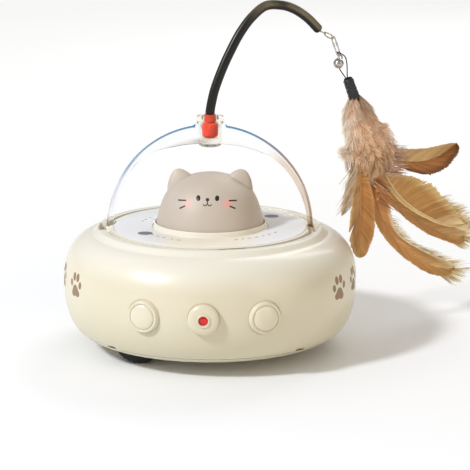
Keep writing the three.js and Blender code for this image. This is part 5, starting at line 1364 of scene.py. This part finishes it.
def wire_clasp():
    """The clasp: a wire ring of two straight runs between half circles, with a crimped sleeve on each run."""
    across = unit(np.cross(EY, clasp_way))
    centre = clasp_top + clasp_way * CLASP_LENGTH / 2
    run = CLASP_LENGTH / 2 - CLASP_HALF
    a = np.linspace(-math.pi / 2, math.pi / 2, 14)
    ends = np.stack([run + CLASP_HALF * np.cos(a), CLASP_HALF * np.sin(a)], -1)
    line = np.vstack([
        ends, np.linspace(ends[-1], -ends[0], 22)[1:-1], -ends, np.linspace(-ends[-1], ends[0], 22)[1:-1],
    ])
    loop = centre + line[:, :1] * clasp_way + line[:, 1:] * across
    shape = Shape()
    sweep(shape, loop, circle(CLASP_WIRE, 14), EY, closed=True)
    crimp = centre - 1.2 * clasp_way
    for side in (-1, 1):
        tube = crimp + side * CLASP_HALF * across + np.linspace(-1.3, 1.3, 6)[:, None] * clasp_way
        sweep(shape, tube, circle(CLASP_WIRE + 0.22, 16), EY)
    shape.move(lure_turned).piece("wire_clasp", "clasp", bright_look, ("clasp",), "bright_metal", 50)


def round_bell():
    """The bell and its eyelet: a sphere with a raised seam round its middle, and below it a sunk slot that
    ends in two round holes."""
    t = np.arange(40)[:, None] / 40 * TAU
    eyelet = bell_eye + EYE_RADIUS * (np.cos(t) * EZ + np.sin(t) * EY)
    shape = Shape()
    sweep(shape, eyelet, circle(EYE_WIRE, 12), EX, closed=True)
    latitude = np.linspace(-90, 90, 49)
    radius = (BELL_RADIUS + 0.16 * np.exp(-(latitude / 5) ** 2))[:, None]
    n, m = len(latitude), 96
    azimuth = np.arange(m) / m * TAU
    tilt = np.radians(latitude)[:, None]
    points = np.stack([
        radius * np.cos(tilt) * np.cos(azimuth), radius * np.cos(tilt) * np.sin(azimuth),
        radius * np.sin(tilt) * np.ones(m),
    ], -1)
    slot = smoothstep((0.45 - np.abs(points[..., 1])) / 0.15) * smoothstep((-0.6 - points[..., 2]) / 0.2)
    holes = np.hypot(np.abs(points[..., 0]) - 2.75, points[..., 1])
    slot = np.maximum(slot, smoothstep((0.62 - holes) / 0.15) * (points[..., 2] < 0))
    points = points * (1 - 0.22 * slot)[..., None]
    shape.add(points + bell_centre, grid_quads(n, m, close_cols=True))
    shape.move(lure_turned)
    shape.piece("round_bell", "lure", bright_look, ("bell", "bell_pellet"), "bright_metal", 60)


def cord_loop():
    """The black laid cord's closed route: through the clasp's foot, down past the bell into the sleeve's
    mouth, and up again on the bell's other side."""
    start = clasp_foot - clasp_way * (CLASP_WIRE + 0.7 + CORD_WIRE + 3 * GAP)
    seat = sleeve_top + sleeve_way * (MOUTH_DEPTH - CORD_WIRE - GAP)
    clear = BELL_RADIUS + CORD_WIRE + 2 * GAP
    spread = 2.4 * CORD_WIRE + 1.15

    def beside(out, side, up):
        """A point at these distances from the bell's middle."""
        return np.array([bell_centre[0] + out, side, bell_centre[2] + up])

    points = [
        start, [start[0] + CORD_WIRE, -spread, start[2] - CORD_WIRE],
        beside(0.8 * clear, -clear / 2, clear), beside(1.15 * clear, -clear / 2.4, 0),
        seat + [-1.4, -CORD_WIRE, 3.5], seat, seat + [-2.45, CORD_WIRE, 3.15],
        beside(clear / 2, clear, -clear / 2), beside(0.95 * clear, 0.8 * clear, 0.8 * clear),
        [start[0] - CORD_WIRE, spread, start[2] - CORD_WIRE],
    ]
    path = spline(points, 170, closed=True)
    shape = Shape()
    black = [rgb(20, 18, 18), rgb(34, 30, 28), rgb(12, 11, 12)]
    twisted(shape, path, CORD_WIRE, True, black, 30, unit(np.array([0.5, 0.62, 0.6])))
    shape.move(lure_turned).piece("black_loop", "lure", black_cord_look, ("cord_loop",), "black_cord", 60)


def quill_sleeve():
    """The black sleeve that holds the quills: heat-shrunk, with an open mouth. Its radius grows a little
    downwards, dips between the ribs with the cube of a raised cosine, and is drawn in at both ends. The
    creases are five waves round it that twist and ripple along it."""
    ribs, sides = 8, 72
    at = np.linspace(0, SLEEVE_LENGTH, 150)
    phase = (at / SLEEVE_LENGTH * ribs) % 1
    radius = 3.45 + 0.35 * at / SLEEVE_LENGTH - 0.2 * (0.5 - 0.5 * np.cos(phase * TAU)) ** 3
    radius = radius - 0.7 * np.exp(-at / 0.7) - 0.25 * np.exp(-(SLEEVE_LENGTH - at) / 0.4)
    angle = np.arange(sides) / sides * TAU
    waves = np.random.default_rng(21).uniform(0, TAU, (5, 2))
    fold = 0
    for k, (a, b) in zip((3, 5, 7, 9, 4), waves):
        twist = 0.35 * (k + 2) * at[:, None] * (1 if k % 2 else -1)
        fold = fold + np.cos(k * angle[None] + a + twist + 0.6 * np.sin(at[:, None] + b))
    r = radius[:, None] + 0.05 * fold
    u = unit(np.cross(EY, sleeve_way))
    v = np.cross(u, sleeve_way)
    ring = np.cos(angle)[:, None] * u + np.sin(angle)[:, None] * v
    wall = sleeve_top + sleeve_way * at[:, None, None] + ring[None] * r[..., None]
    mouth = ((0.3, MOUTH_DEPTH), (2.2, MOUTH_DEPTH), (2.2, 0.4), (2.3, 0.1), (2.55, -0.02))
    inside, end = (
        np.array([sleeve_top + sleeve_way * h + ring * q for q, h in outline])
        for outline in (mouth, ((2.6, SLEEVE_LENGTH), (0.3, SLEEVE_LENGTH)))
    )
    points = np.concatenate([inside, wall, end])
    shape = Shape().add(points, grid_quads(len(points), sides, close_cols=True)[:, ::-1])
    shape.move(lure_turned).piece("quill_sleeve", "lure", ferrule_look, ("ferrule",), "tyre", 70)


tip_cord()
wire_clasp()
round_bell()
cord_loop()
quill_sleeve()


# Down and feathers

# The tuft's core as shares of the lure's width and drop, and its half width there as a share of that width.
TUFT_SHARES = (
    (0.272, -0.28, 0.055), (0.277, -0.298, 0.092), (0.29, -0.337, 0.105), (0.316, -0.4, 0.122),
    (0.353, -0.45, 0.15), (0.39, -0.49, 0.182), (0.394, -0.535, 0.19), (0.37, -0.585, 0.15),
    (0.36, -0.635, 0.08),
)

# Layers of plumes: how many, barbs on each side, a barb's length, the depths where the quill starts and ends
# as shares of the tuft's half width, and a barb's half width.
PLUME_LAYERS = (
    (50, 34, 7.0, 0.15, 0.45, 0.38), (150, 32, 6.4, 0.4, 0.85, 0.17), (170, 34, 5.6, 0.6, 1.0, 0.13),
)

# Sprays of single strands: how many, the ends of the line where they root as shares of the lure's width and
# drop, the way they go, least and greatest length, distance in front, half width, and four colours.
SPRAYS = (
    (90, (0.388, -0.6), (0.43, -0.72), (1.0, 0.1, -0.75), 8, 16, 9.0, 0.3,
     ((178, 112, 62), (200, 136, 82), (112, 72, 46), (232, 198, 148))),
    (220, (0.47, -0.49), (0.48, -0.6), (1.0, 0.1, -0.22), 9, 18, 7.5, 0.26,
     ((204, 164, 138), (178, 138, 108), (226, 190, 162), (132, 98, 72))),
    (46, (0.3, -0.55), (0.27, -0.7), (-0.59, 0.0, -0.81), 12, 19, 2.0, 0.3,
     ((255, 244, 222), (236, 208, 170), (206, 172, 130), (255, 250, 236))),
)
STRAND_STEPS = 5


def blend_tones(tones, share):
    """Colours between the tones, by share from the first to the last."""
    tones = np.array(tones, float)
    at = np.clip(share, 0, 1) * (len(tones) - 1)
    low = np.minimum(at.astype(int), len(tones) - 2)
    part = (at - low)[..., None]
    return tones[low] * (1 - part) + tones[low + 1] * part


def along_line(line, share):
    """Points of a line at shares of its length."""
    at = np.clip(share, 0, 1) * (len(line) - 1)
    return np.stack([np.interp(at, np.arange(len(line)), line[:, k]) for k in range(line.shape[1])], -1)


def ribbons(shape, lines, half, tone, face):
    """Flat strands: lines (n, k, 3) with half widths (n, k), colours (n, k, 3) and the vectors they face."""
    along = unit(np.gradient(lines, axis=1))
    across = unit(np.cross(face, along))
    left, right = lines - across * half[..., None], lines + across * half[..., None]
    n, k = lines.shape[:2]
    points = np.stack([left, right], 2).reshape(n, k * 2, 3)
    cell = np.stack([np.arange(k - 1) * 2 + j for j in (0, 1, 3, 2)], -1)
    faces = (np.arange(n)[:, None, None] * (2 * k) + cell[None]).reshape(-1, 4)
    shape.add(points.reshape(-1, 3), faces, np.repeat(tone, 2, axis=1).reshape(-1, 3))


def tuft_tone(place, out, share):
    """The down's colour from a strand's root and its way out of the tuft: cream on the left, peach in the
    middle, ruddy on the right, brown low in the middle, and deeper near the sleeve. Each strand grows paler
    towards its end."""
    left = 0.8 * smoothstep((-0.6 - out[:, 0]) / 0.4)[:, None, None]
    right = smoothstep((out[:, 0] - 0.3) / 0.6)[:, None, None]
    drop = tip[2] - place[:, 2]
    low = smoothstep((drop - 66) / 20)[:, None, None] * (1 - 0.85 * left) * (1 - 0.7 * right)
    high = smoothstep((62 - drop) / 12)[:, None, None] * (1 - left)
    peach = blend_tones([rgb(222, 160, 116), rgb(250, 200, 156), rgb(255, 226, 192)], share)
    cream = blend_tones([rgb(252, 222, 190), rgb(255, 244, 224), rgb(255, 253, 246)], share)
    ruddy = blend_tones([rgb(226, 174, 130), rgb(252, 214, 176), rgb(255, 234, 208)], share)
    brown = blend_tones([rgb(146, 108, 70), rgb(212, 164, 118), rgb(246, 212, 170)], share)
    tone = peach + (ruddy - peach) * right
    tone = tone + (cream - tone) * left
    return (tone + 0.95 * (brown - tone) * low) * (1 - 0.28 * high)


def tuft_plumes(shape, rng):
    """Plumes laid over one another from the sleeve down. A plume's quill runs down the tuft from one depth to
    another. Its barbs leave at 50 degrees to both sides and bend towards the quill's way with the square of
    their length, so that they make a herringbone, and each has a slow sine ripple."""
    core = spline([lure_point(a, b) for a, b, _ in TUFT_SHARES], 120)
    places = np.linspace(0, len(TUFT_SHARES) - 1, 120)
    halves = np.interp(places, range(len(TUFT_SHARES)), [h * LURE_WIDTH for *_, h in TUFT_SHARES])
    sized = np.hstack([core, halves[:, None]])
    u = np.linspace(0, 1, STRAND_STEPS)[None, :, None]

    def outside(v, angle, depth):
        """Points at core share v, an angle about the core and a depth as a share of its half width, and the
        ways out there."""
        at = along_line(sized, v)
        axis = unit(along_line(np.gradient(core, axis=0), v))
        flat = unit(np.cross(EY, axis))
        out = np.cos(angle)[..., None] * flat + 0.75 * np.sin(angle)[..., None] * EY
        return at[..., :3] + out * (at[..., 3] * depth)[..., None], unit(out)

    for plumes, barbs, long, inner, outer, width in PLUME_LAYERS:
        start = rng.beta(1.0, 1.5, plumes) * 0.8
        turn = rng.uniform(0, TAU, plumes)
        t = np.linspace(0, 1, barbs)[None]
        v = start[:, None] + t * rng.uniform(0.16, 0.26, (plumes, 1))
        angle = turn[:, None] + t * rng.normal(0, 0.18, (plumes, 1))
        quill, out = outside(v, angle, inner + (outer - inner) * t ** 0.8)
        way = unit(np.gradient(quill, axis=1))
        lateral = unit(np.cross(out, way))
        reach = long * np.sin(math.pi * (0.12 + 0.8 * t)) ** 0.5 * rng.uniform(0.75, 1.2, (plumes, barbs))
        for sign in (-1, 1):
            lean = np.radians(50) + rng.normal(0, 0.16, (plumes, barbs))
            go = np.cos(lean)[..., None] * way + sign * np.sin(lean)[..., None] * lateral
            go = unit(go + out * rng.normal(0.16, 0.14, (plumes, barbs, 1)))
            n = plumes * barbs
            p, g, w, o = (q.reshape(n, 1, 3) for q in (quill, go, way, out))
            r = reach.reshape(n, 1, 1)
            lines = p + r * (g * u + 0.28 * w * u ** 2 - 0.16 * EZ * u ** 2)
            phase = rng.uniform(0, TAU, (n, 1, 1))
            ripple = 0.05 * np.sin(u * 7 + phase) * w + 0.04 * np.cos(u * 6 + phase) * o
            lines = lines + r * u * ripple
            share = np.clip(0.1 + 0.9 * u[..., 0] + rng.normal(0, 0.1, (n, 1)), 0, 1)
            tone = tuft_tone(p[:, 0], o[:, 0], share) * rng.uniform(0.66, 1.16, (n, 1, 1))
            half = width * (1 - 0.6 * u[..., 0]) * rng.uniform(0.7, 1.3, (n, 1))
            ribbons(shape, lines, half, np.clip(tone, 0, 1), unit(o + rng.normal(0, 0.3, (n, 1, 3))))


def tuft_sprays(shape, rng):
    """Single strands over the plumes. Each sags a little in its middle, and thins towards its end."""
    u = np.linspace(0, 1, STRAND_STEPS)[None]
    for count, first, last, way, low, high, front, half, colours in SPRAYS:
        t = rng.uniform(0, 1, (count, 1))
        first, last = lure_point(*first), lure_point(*last)
        root = first + (last - first) * t + rng.normal(0, 1.6, (count, 3)) * [1, 0.5, 0.6] - front * EY
        go = unit(np.array(way) + rng.normal(0, 0.08, (count, 3))) * rng.uniform(low, high, (count, 1))
        lines = root[:, None] + go[:, None] * u[..., None] + 2.2 * EZ * (u * (u - 1))[..., None]
        shades = np.array([rgb(*colour) for colour in colours])
        picked = shades[rng.choice(4, count, p=(0.4, 0.25, 0.2, 0.15))]
        tone = picked[:, None] * np.ones((1, STRAND_STEPS, 1))
        ribbons(shape, lines, half * (1 - 0.7 * u) * np.ones((count, 1)), tone, -EY)


def tuft():
    """The loose down: layers of plumes, and sprays of single strands over them."""
    shape, rng = Shape(), np.random.default_rng(35)
    tuft_plumes(shape, rng)
    tuft_sprays(shape, rng)
    shape.move(lure_turned).piece("loose_down", "lure", down_glow_look, ("down_tuft",), "down", 180)


# Each feather has three routes, given in shares of the lure's width and drop: its shaft and two edges.
# Side is how far it lies behind the lure's plane, as a share of the lure's width, and curl adds to that
# towards the tip. Cup is how much the barbs bulge forwards, fray how ragged they are, bars how much the
# colour varies along the feather, lag how far the barbs lean towards its tip, and hair the share where loose
# hairs start and their length. Splits are gaps in an edge, as (place, width) in shares. Each side's tones run
# from the root to the tip, and the last one is its edge's.
FEATHERS = {
    "upper": dict(
        shaft=((0.37, -0.48), (0.47, -0.53), (0.58, -0.558), (0.66, -0.573), (0.763, -0.58), (0.864, -0.572),
               (0.965, -0.547), (1.03, -0.52), (1.055, -0.509)),
        over=((0.42, -0.5), (0.558, -0.514), (0.66, -0.519), (0.78, -0.523), (0.912, -0.514), (1.0, -0.507),
              (1.055, -0.509)),
        under=((0.43, -0.53), (0.56, -0.577), (0.622, -0.595), (0.714, -0.618), (0.826, -0.633),
               (0.948, -0.613), (1.02, -0.577), (1.062, -0.535), (1.055, -0.509)),
        side=0, curl=0.03, seed=11, cup=0.12, fray=0.5, bars=0.12, lag=0.27, hair=(0, 0), splits={},
        quill=(120, 78, 42),
        tones=dict(
            over=((160, 118, 70), (216, 180, 124), (206, 164, 104), (150, 92, 44), (206, 168, 112)),
            under=((146, 96, 50), (184, 122, 60), (178, 114, 54), (170, 108, 52), (122, 76, 36)),
        ),
    ),
    "middle": dict(
        shaft=((0.38, -0.53), (0.481, -0.598), (0.534, -0.652), (0.6, -0.708), (0.69, -0.762),
               (0.815, -0.812), (0.941, -0.85), (1.045, -0.865), (1.13, -0.866)),
        over=((0.43, -0.56), (0.532, -0.61), (0.654, -0.632), (0.766, -0.654), (0.87, -0.696), (0.95, -0.748),
              (1.03, -0.79), (1.09, -0.835), (1.13, -0.866)),
        under=((0.43, -0.59), (0.5, -0.662), (0.6, -0.733), (0.7, -0.782), (0.82, -0.826), (0.95, -0.862),
               (1.05, -0.875), (1.13, -0.866)),
        side=-0.045, curl=-0.03, seed=12, cup=0.1, fray=0.5, bars=0.06, lag=0.2, hair=(0.6, 6.0),
        splits={"over": ((0.33, 0.012),)}, quill=(244, 222, 172),
        tones=dict(
            over=((220, 172, 110), (204, 150, 82), (184, 132, 66), (252, 232, 180), (232, 198, 134)),
            under=((214, 176, 118), (226, 186, 118), (230, 194, 128), (240, 214, 160), (240, 208, 148)),
        ),
    ),
    "low": dict(
        shaft=((0.36, -0.535), (0.46, -0.64), (0.55, -0.72), (0.66, -0.785), (0.8, -0.843), (0.98, -0.9),
               (1.15, -0.925)),
        over=((0.42, -0.56), (0.5, -0.64), (0.6, -0.705), (0.7, -0.76), (0.82, -0.808), (0.98, -0.853),
              (1.11, -0.88), (1.15, -0.925)),
        under=((0.4, -0.6), (0.465, -0.689), (0.548, -0.75), (0.631, -0.795), (0.714, -0.836), (0.84, -0.889),
               (0.987, -0.93), (1.1, -0.95), (1.15, -0.925)),
        side=0.03, curl=0.05, seed=13, cup=0.12, fray=0.9, bars=0.1, lag=0.24, hair=(0.8, 5.0), splits={},
        quill=(176, 124, 66),
        tones=dict(
            over=((226, 170, 112), (232, 178, 110), (226, 172, 102), (248, 218, 162), (246, 212, 150)),
            under=((226, 168, 108), (228, 174, 106), (220, 164, 92), (236, 194, 128), (206, 150, 84)),
        ),
    ),
    "curved": dict(
        shaft=((0.36, -0.54), (0.405, -0.64), (0.455, -0.73), (0.505, -0.815), (0.6, -0.9), (0.73, -0.972),
               (0.88, -1.032), (1.0, -1.058), (1.08, -1.06)),
        over=((0.4, -0.6), (0.46, -0.65), (0.512, -0.7), (0.55, -0.75), (0.574, -0.809), (0.606, -0.862),
              (0.677, -0.912), (0.823, -0.964), (0.949, -1.005), (1.05, -1.035), (1.08, -1.06)),
        under=((0.375, -0.6), (0.4, -0.686), (0.415, -0.744), (0.434, -0.791), (0.471, -0.85),
               (0.555, -0.918), (0.639, -0.969), (0.764, -1.029), (0.89, -1.07), (1.016, -1.083),
               (1.08, -1.06)),
        side=0.075, curl=0.03, seed=14, cup=0.14, fray=0.8, bars=0.12, lag=0.24, hair=(0.28, 7.5), splits={},
        quill=(190, 132, 70),
        tones=dict(
            over=((214, 148, 86), (216, 156, 92), (224, 168, 98), (240, 210, 150), (250, 234, 190)),
            under=((216, 148, 86), (206, 148, 86), (216, 160, 92), (218, 176, 112), (206, 154, 88)),
        ),
    ),
    "down": dict(
        shaft=((0.33, -0.53), (0.316, -0.62), (0.32, -0.69), (0.324, -0.756), (0.32, -0.825), (0.32, -0.9),
               (0.332, -0.972)),
        over=((0.34, -0.58), (0.37, -0.627), (0.4, -0.686), (0.419, -0.744), (0.425, -0.813), (0.41, -0.887),
              (0.385, -0.938), (0.355, -0.966), (0.332, -0.972)),
        under=((0.31, -0.58), (0.275, -0.66), (0.252, -0.75), (0.238, -0.83), (0.242, -0.89), (0.265, -0.938),
               (0.297, -0.966), (0.332, -0.972)),
        side=-0.085, curl=-0.02, seed=15, cup=0.12, fray=1.0, bars=0.06, lag=0.2, hair=(0, 0),
        splits={"under": ((0.28, 0.05), (0.5, 0.04))}, quill=(186, 134, 76),
        tones=dict(
            over=((188, 128, 68), (192, 130, 66), (190, 132, 70), (214, 168, 104), (206, 150, 84)),
            under=((190, 144, 92), (190, 142, 86), (172, 122, 66), (206, 164, 104), (214, 176, 120)),
        ),
    ),
    "small": dict(
        shaft=((0.3, -0.49), (0.278, -0.6), (0.252, -0.67), (0.222, -0.735), (0.195, -0.785)),
        over=((0.31, -0.56), (0.315, -0.64), (0.316, -0.7), (0.298, -0.735), (0.25, -0.762), (0.195, -0.785)),
        under=((0.28, -0.55), (0.237, -0.62), (0.207, -0.69), (0.19, -0.745), (0.195, -0.785)),
        side=0.03, curl=0.03, seed=16, cup=0.1, fray=2.6, bars=0.06, lag=0.2, hair=(0, 0),
        splits={"under": ((0.25, 0.04), (0.45, 0.04), (0.65, 0.03))}, quill=(196, 164, 120),
        tones=dict(
            over=((240, 206, 164), (252, 224, 182), (255, 230, 192), (255, 252, 240)),
            under=((242, 208, 166), (253, 228, 188), (255, 233, 198), (255, 252, 240)),
        ),
    ),
}
QUILL_SHARE = 0.16
BARBS_PER_MM, BARB_STEPS, HAIRS = 2.3, 10, 300
HAIR_TONES = [rgb(206, 160, 98), rgb(242, 220, 168), rgb(252, 242, 212)]


class HenFeather:
    """One hen feather between three routes, as ribbons gathered in one shape."""

    def __init__(self, facts):
        self.facts, self.shape = facts, Shape()
        self.rng = np.random.default_rng(facts["seed"])
        self.shaft, over, under = (
            spline([lure_point(a, b) for a, b in facts[key]], 240) for key in ("shaft", "over", "under")
        )
        self.edges = {"over": over, "under": under}
        self.way = unit(np.gradient(self.shaft, axis=0))
        length = np.linalg.norm(np.diff(self.shaft, axis=0), axis=1).sum()
        self.count = int(length * BARBS_PER_MM)
        self.u = np.linspace(0, 1, BARB_STEPS)[None, :, None]

    def sunk(self, points, share):
        """Moves points out of the lure's plane by their share along the feather, on the camera's ray."""
        side = (self.facts["side"] + self.facts["curl"] * share ** 2) * LURE_WIDTH
        return points + np.stack([0.4 * side, side, -0.27 * side], -1)

    def barbs(self, key, layer):
        """One layer of barbs on one side. A barb runs from the shaft's share a to the edge's share
        a + lag sin(pi a), bowed towards the root by a tenth of its length, and cupped with the square of its
        own share. Barbs in one clump share a shift, and the splits shift them apart."""
        facts, rng, u, count = self.facts, self.rng, self.u, self.count
        a = np.clip((np.arange(count) + rng.uniform(-0.3, 0.3, count) + 0.5 * layer) / count, 0, 1)
        clumps = np.cumsum(rng.uniform(0, 1, count) < 0.09)
        shift = rng.normal(0, 0.012, clumps[-1] + 1)[clumps] * facts["fray"] * (1 - a)
        for split, opening in facts["splits"].get(key, ()):
            apart = a - split
            shift = shift + opening * np.sign(apart) * np.exp(-np.abs(apart) / 0.08) * (np.abs(apart) < 0.3)
        loose = rng.uniform(0, 1, clumps[-1] + 1)[clumps] ** 3 * facts["fray"]
        on_shaft = QUILL_SHARE + (1 - QUILL_SHARE) * a
        start = along_line(self.shaft, on_shaft)
        end = along_line(self.edges[key], a + facts["lag"] * np.sin(math.pi * a) + shift)
        torn = smoothstep((a - 0.78) / 0.2) * (facts["hair"][1] > 0)
        grown = rng.normal(1.0, 0.025 + 0.09 * torn) - 0.12 * np.minimum(loose, 1)
        end = start + (end - start) * grown[:, None]
        reach = np.linalg.norm(end - start, axis=1)[:, None, None]
        tangent = along_line(self.way, on_shaft)[:, None]
        bend = 0.5 * (start + end)[:, None] - 0.1 * reach * tangent
        points = start[:, None] * (1 - u) ** 2 + 2 * bend * u * (1 - u) + end[:, None] * u ** 2
        lift = facts["cup"] * reach * u ** 2 + 0.12 * layer
        wild = loose * rng.normal(0, 0.6, count) + rng.normal(0, 0.1, count)
        lift = lift + u ** 2 * wild[:, None, None]
        points = self.sunk(points - lift * EY, np.repeat(a[:, None], BARB_STEPS, 1))
        gap = np.linalg.norm(np.gradient(end, axis=0), axis=1)[:, None]
        half = 0.5 * np.minimum(gap, 1.2) * (1.5 - 0.7 * u[..., 0] ** 1.5) * rng.uniform(0.9, 1.2, (count, 1))
        sign = 1 if key == "over" else -1
        slope = unit(np.cross(tangent, EY)) * sign * 2 * facts["cup"] * u
        face = unit(-EY + slope + tangent * rng.normal(0, 0.13, (count, 1, 1)))
        *inner, rim = [np.array(rgb(*c)) for c in facts["tones"][key]]
        tone = blend_tones(inner, a)[:, None] * np.ones((1, BARB_STEPS, 1))
        tone = tone + (rim - tone) * smoothstep((u - 0.66) / 0.34)
        wave = np.interp(a, np.linspace(0, 1, 26), rng.normal(0, facts["bars"], 26))
        tone = tone * (1 + wave[:, None, None] + rng.normal(0, 0.1, (count, 1, 1)))
        ribbons(self.shape, points, np.maximum(half, 0.08), np.clip(tone, 0, 1), face)

    def hairs(self, key):
        """Loose pale hairs that pass the edge: from their first share on above, and near the tip below."""
        facts, rng, u = self.facts, self.rng, self.u
        first, long = facts["hair"]
        a = rng.uniform(first if key == "over" else max(first, 0.82), 0.99, HAIRS)
        start = along_line(self.shaft, QUILL_SHARE + (1 - QUILL_SHARE) * a)
        end = along_line(self.edges[key], np.minimum(a + 0.06, 1))
        tangent = along_line(self.way, a)[:, None]
        go = unit(end - start)[:, None] + 0.7 * tangent
        root = (start + (end - start) * rng.uniform(0.75, 0.98, (HAIRS, 1)))[:, None]
        grown = long * rng.uniform(0.3, 1.0, HAIRS)[:, None, None]
        points = root + go * grown * u + 0.35 * tangent * grown * u ** 2
        points = points - (facts["cup"] * long + 0.4 + rng.normal(0, 0.4, (HAIRS, 1, 1)) * u) * EY
        points = self.sunk(points, np.repeat(a[:, None], BARB_STEPS, 1))
        tone = blend_tones(HAIR_TONES, u[..., 0] * np.ones((HAIRS, 1)))
        tone = tone * np.where(rng.uniform(0, 1, (HAIRS, 1, 1)) < 0.2, 0.45, 1.0)
        half = 0.15 * (1 - 0.6 * u[..., 0]) * np.ones((HAIRS, 1))
        ribbons(self.shape, points, half, tone, -EY)

    def quill(self):
        """The quill: a tube along the shaft, a little in front of the barbs, that thins towards the tip."""
        n = 60
        a = np.linspace(0, 1.0, n)
        thick = np.interp(a, [0, QUILL_SHARE, 0.5, 1], [0.7, 0.55, 0.38, 0.08])
        tone = np.array(rgb(*self.facts["quill"]))[None] * np.ones((n, 1))
        path = self.sunk(along_line(self.shaft, a) - 0.25 * EY, a)
        sweep(self.shape, path, circle(1.0, 8), EY, thick, tone=tone)


def feather(name, facts):
    """Makes one feather: two layers of barbs and loose hairs, if it has any, on each side, and its quill."""
    made = HenFeather(facts)
    for key in ("over", "under"):
        for layer in (0, 1):
            made.barbs(key, layer)
        if facts["hair"][1]:
            made.hairs(key)
    made.quill()
    shape = made.shape.move(lure_turned)
    shape.piece("hen_feather_" + name, "lure", feather_look, ("feather_" + name,), "feather", 180)


tuft()
for feather_name, feather_facts in FEATHERS.items():
    feather(feather_name, feather_facts)


# Wheels and caster

WHEEL_X, WHEEL_Y, WHEEL_Z = -42.5, 48.5, 7.5
TYRE_RADIUS, TYRE_BORE, TYRE_HALF = 16.5, 12.3, 4.5
CASTER_PLACE, CASTER_RADIUS, CASTER_BORE = (49, 0, -1), 8.0, 1.3


def tyres():
    """Rubber tyres with 30 cross grooves, on dished hubs. A groove sinks the tread by a smooth step of a
    cosine round the tyre."""
    corners = [
        (TYRE_BORE, -TYRE_HALF, 0.2), (TYRE_RADIUS, -TYRE_HALF, 1.3), (TYRE_RADIUS, TYRE_HALF, 1.3),
        (TYRE_BORE, TYRE_HALF, 0.2),
    ]
    corners = rounded(corners, 6, True)
    dense = []
    for a, b in zip(corners, np.roll(corners, -1, 0)):
        dense.append(np.linspace(a, b, max(2, int(np.linalg.norm(b - a) / 0.8) + 1))[:-1])
    outline = np.vstack(dense)
    n, m = len(outline), 240
    angle = np.arange(m) / m * TAU
    groove = 0.35 * smoothstep((np.cos(30 * angle) - 0.55) / 0.3)
    tread = smoothstep((outline[:, 0] - (TYRE_RADIUS - 0.9)) / 0.6)
    radius = outline[:, :1] - tread[:, None] * groove[None]
    points = np.stack([radius * np.cos(angle), outline[:, 1:] * np.ones(m), radius * np.sin(angle)], -1)
    for name, side in (("rear", 1), ("front", -1)):
        centre = np.array([WHEEL_X, side * WHEEL_Y, WHEEL_Z])
        shape = Shape().add(centre + points, grid_quads(n, m, True, True))
        shape.piece(name + "_wheel_tyre", name + "_wheel", rubber_look, (name + "_tyre",), "tyre")
        cad_look(name + "_wheel_hub", white_look)


def caster():
    """The caster's rubber wheel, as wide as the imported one, and the looks of its fork and axle."""
    low, high = (np.array(v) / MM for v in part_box("caster_wheel"))
    half = (high[1] - low[1]) / 2
    bore, rim = CASTER_BORE, CASTER_RADIUS
    outline = rounded([(bore, -half, 0.3), (rim, -half, 1.0), (rim, half, 1.0), (bore, half, 0.3)], 6, True)
    shape = revolve(Shape(), outline, 80, CASTER_PLACE, EY, closed=True)
    shape.piece("caster_roller", "caster_wheel", rubber_look, ("caster_wheel",), "tyre")
    cad_look("caster_fork", dark_look)
    cad_look("caster_axle", steel_look)


tyres()
caster()


# What is inside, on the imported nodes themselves

INSIDE = {
    "steel": steel_look, "screw": steel_look, "board": board_look, "battery": cell_look, "chip": dark_look,
    "module": dark_look, "switch": dark_look, "post": white_look, "plate": white_look, "thrust": white_look,
    "gear": white_look, "pinion": white_look, "motor": steel_look, "socket": steel_look,
}


def inside_looks():
    """Gives each node that no piece stands for, and that has no look yet, the look its name asks for."""
    stood_for = {n for o in bpy.data.objects for n in o.get("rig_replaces", [])}
    for node in frame["nodes"]:
        if node not in stood_for and not frame["nodes"][node].modifiers:
            found = [look for key, look in INSIDE.items() if key in node]
            cad_look(node, found[0] if found else white_look)


inside_looks()


# Floor and surroundings

def floor_and_world():
    """A plain pale floor under the wheels, and an even pale world. The eye, mirrors and clear parts see the
    floor grow paler with its distance from the toy, but no more light comes from it."""
    size, level = 12.0, -0.0091
    mesh = bpy.data.meshes.new("floor")
    corners = [(-size, -size, level), (size, -size, level), (size, size, level), (-size, size, level)]
    mesh.from_pydata(corners, [], [(0, 1, 2, 3)])
    floor = bpy.data.objects.new("floor", mesh)
    bpy.context.scene.collection.objects.link(floor)
    look = plastic("floor", (244, 245, 246), (240, 241, 243), 0.9, 0.02, 0.6, 40.0, 0.0,
                   Emission_Strength=1.0)
    x, y, _ = look.place()
    rays = look.add("ShaderNodeLightPath").outputs
    seen = look.math("MAXIMUM", rays["Is Glossy Ray"], rays["Is Transmission Ray"])
    seen = look.math("MAXIMUM", seen, rays["Is Camera Ray"])
    paler = look.math("MINIMUM", look.math("MULTIPLY", look.far(x, y), 0.18), 1.0)
    look.put(look.shader.inputs["Emission Color"], look.math("MULTIPLY", paler, seen))
    mesh.materials.append(look.material)
    world = bpy.data.worlds.new("world")
    bpy.context.scene.world = world
    world.use_nodes = True
    nodes = Nodes(world.node_tree)
    world.node_tree.nodes.clear()
    shade = nodes.add("ShaderNodeBackground", {"Color": (1.0, 0.98, 0.95), "Strength": 0.47})
    nodes.add("ShaderNodeOutputWorld", {"Surface": shade.outputs[0]})


floor_and_world()
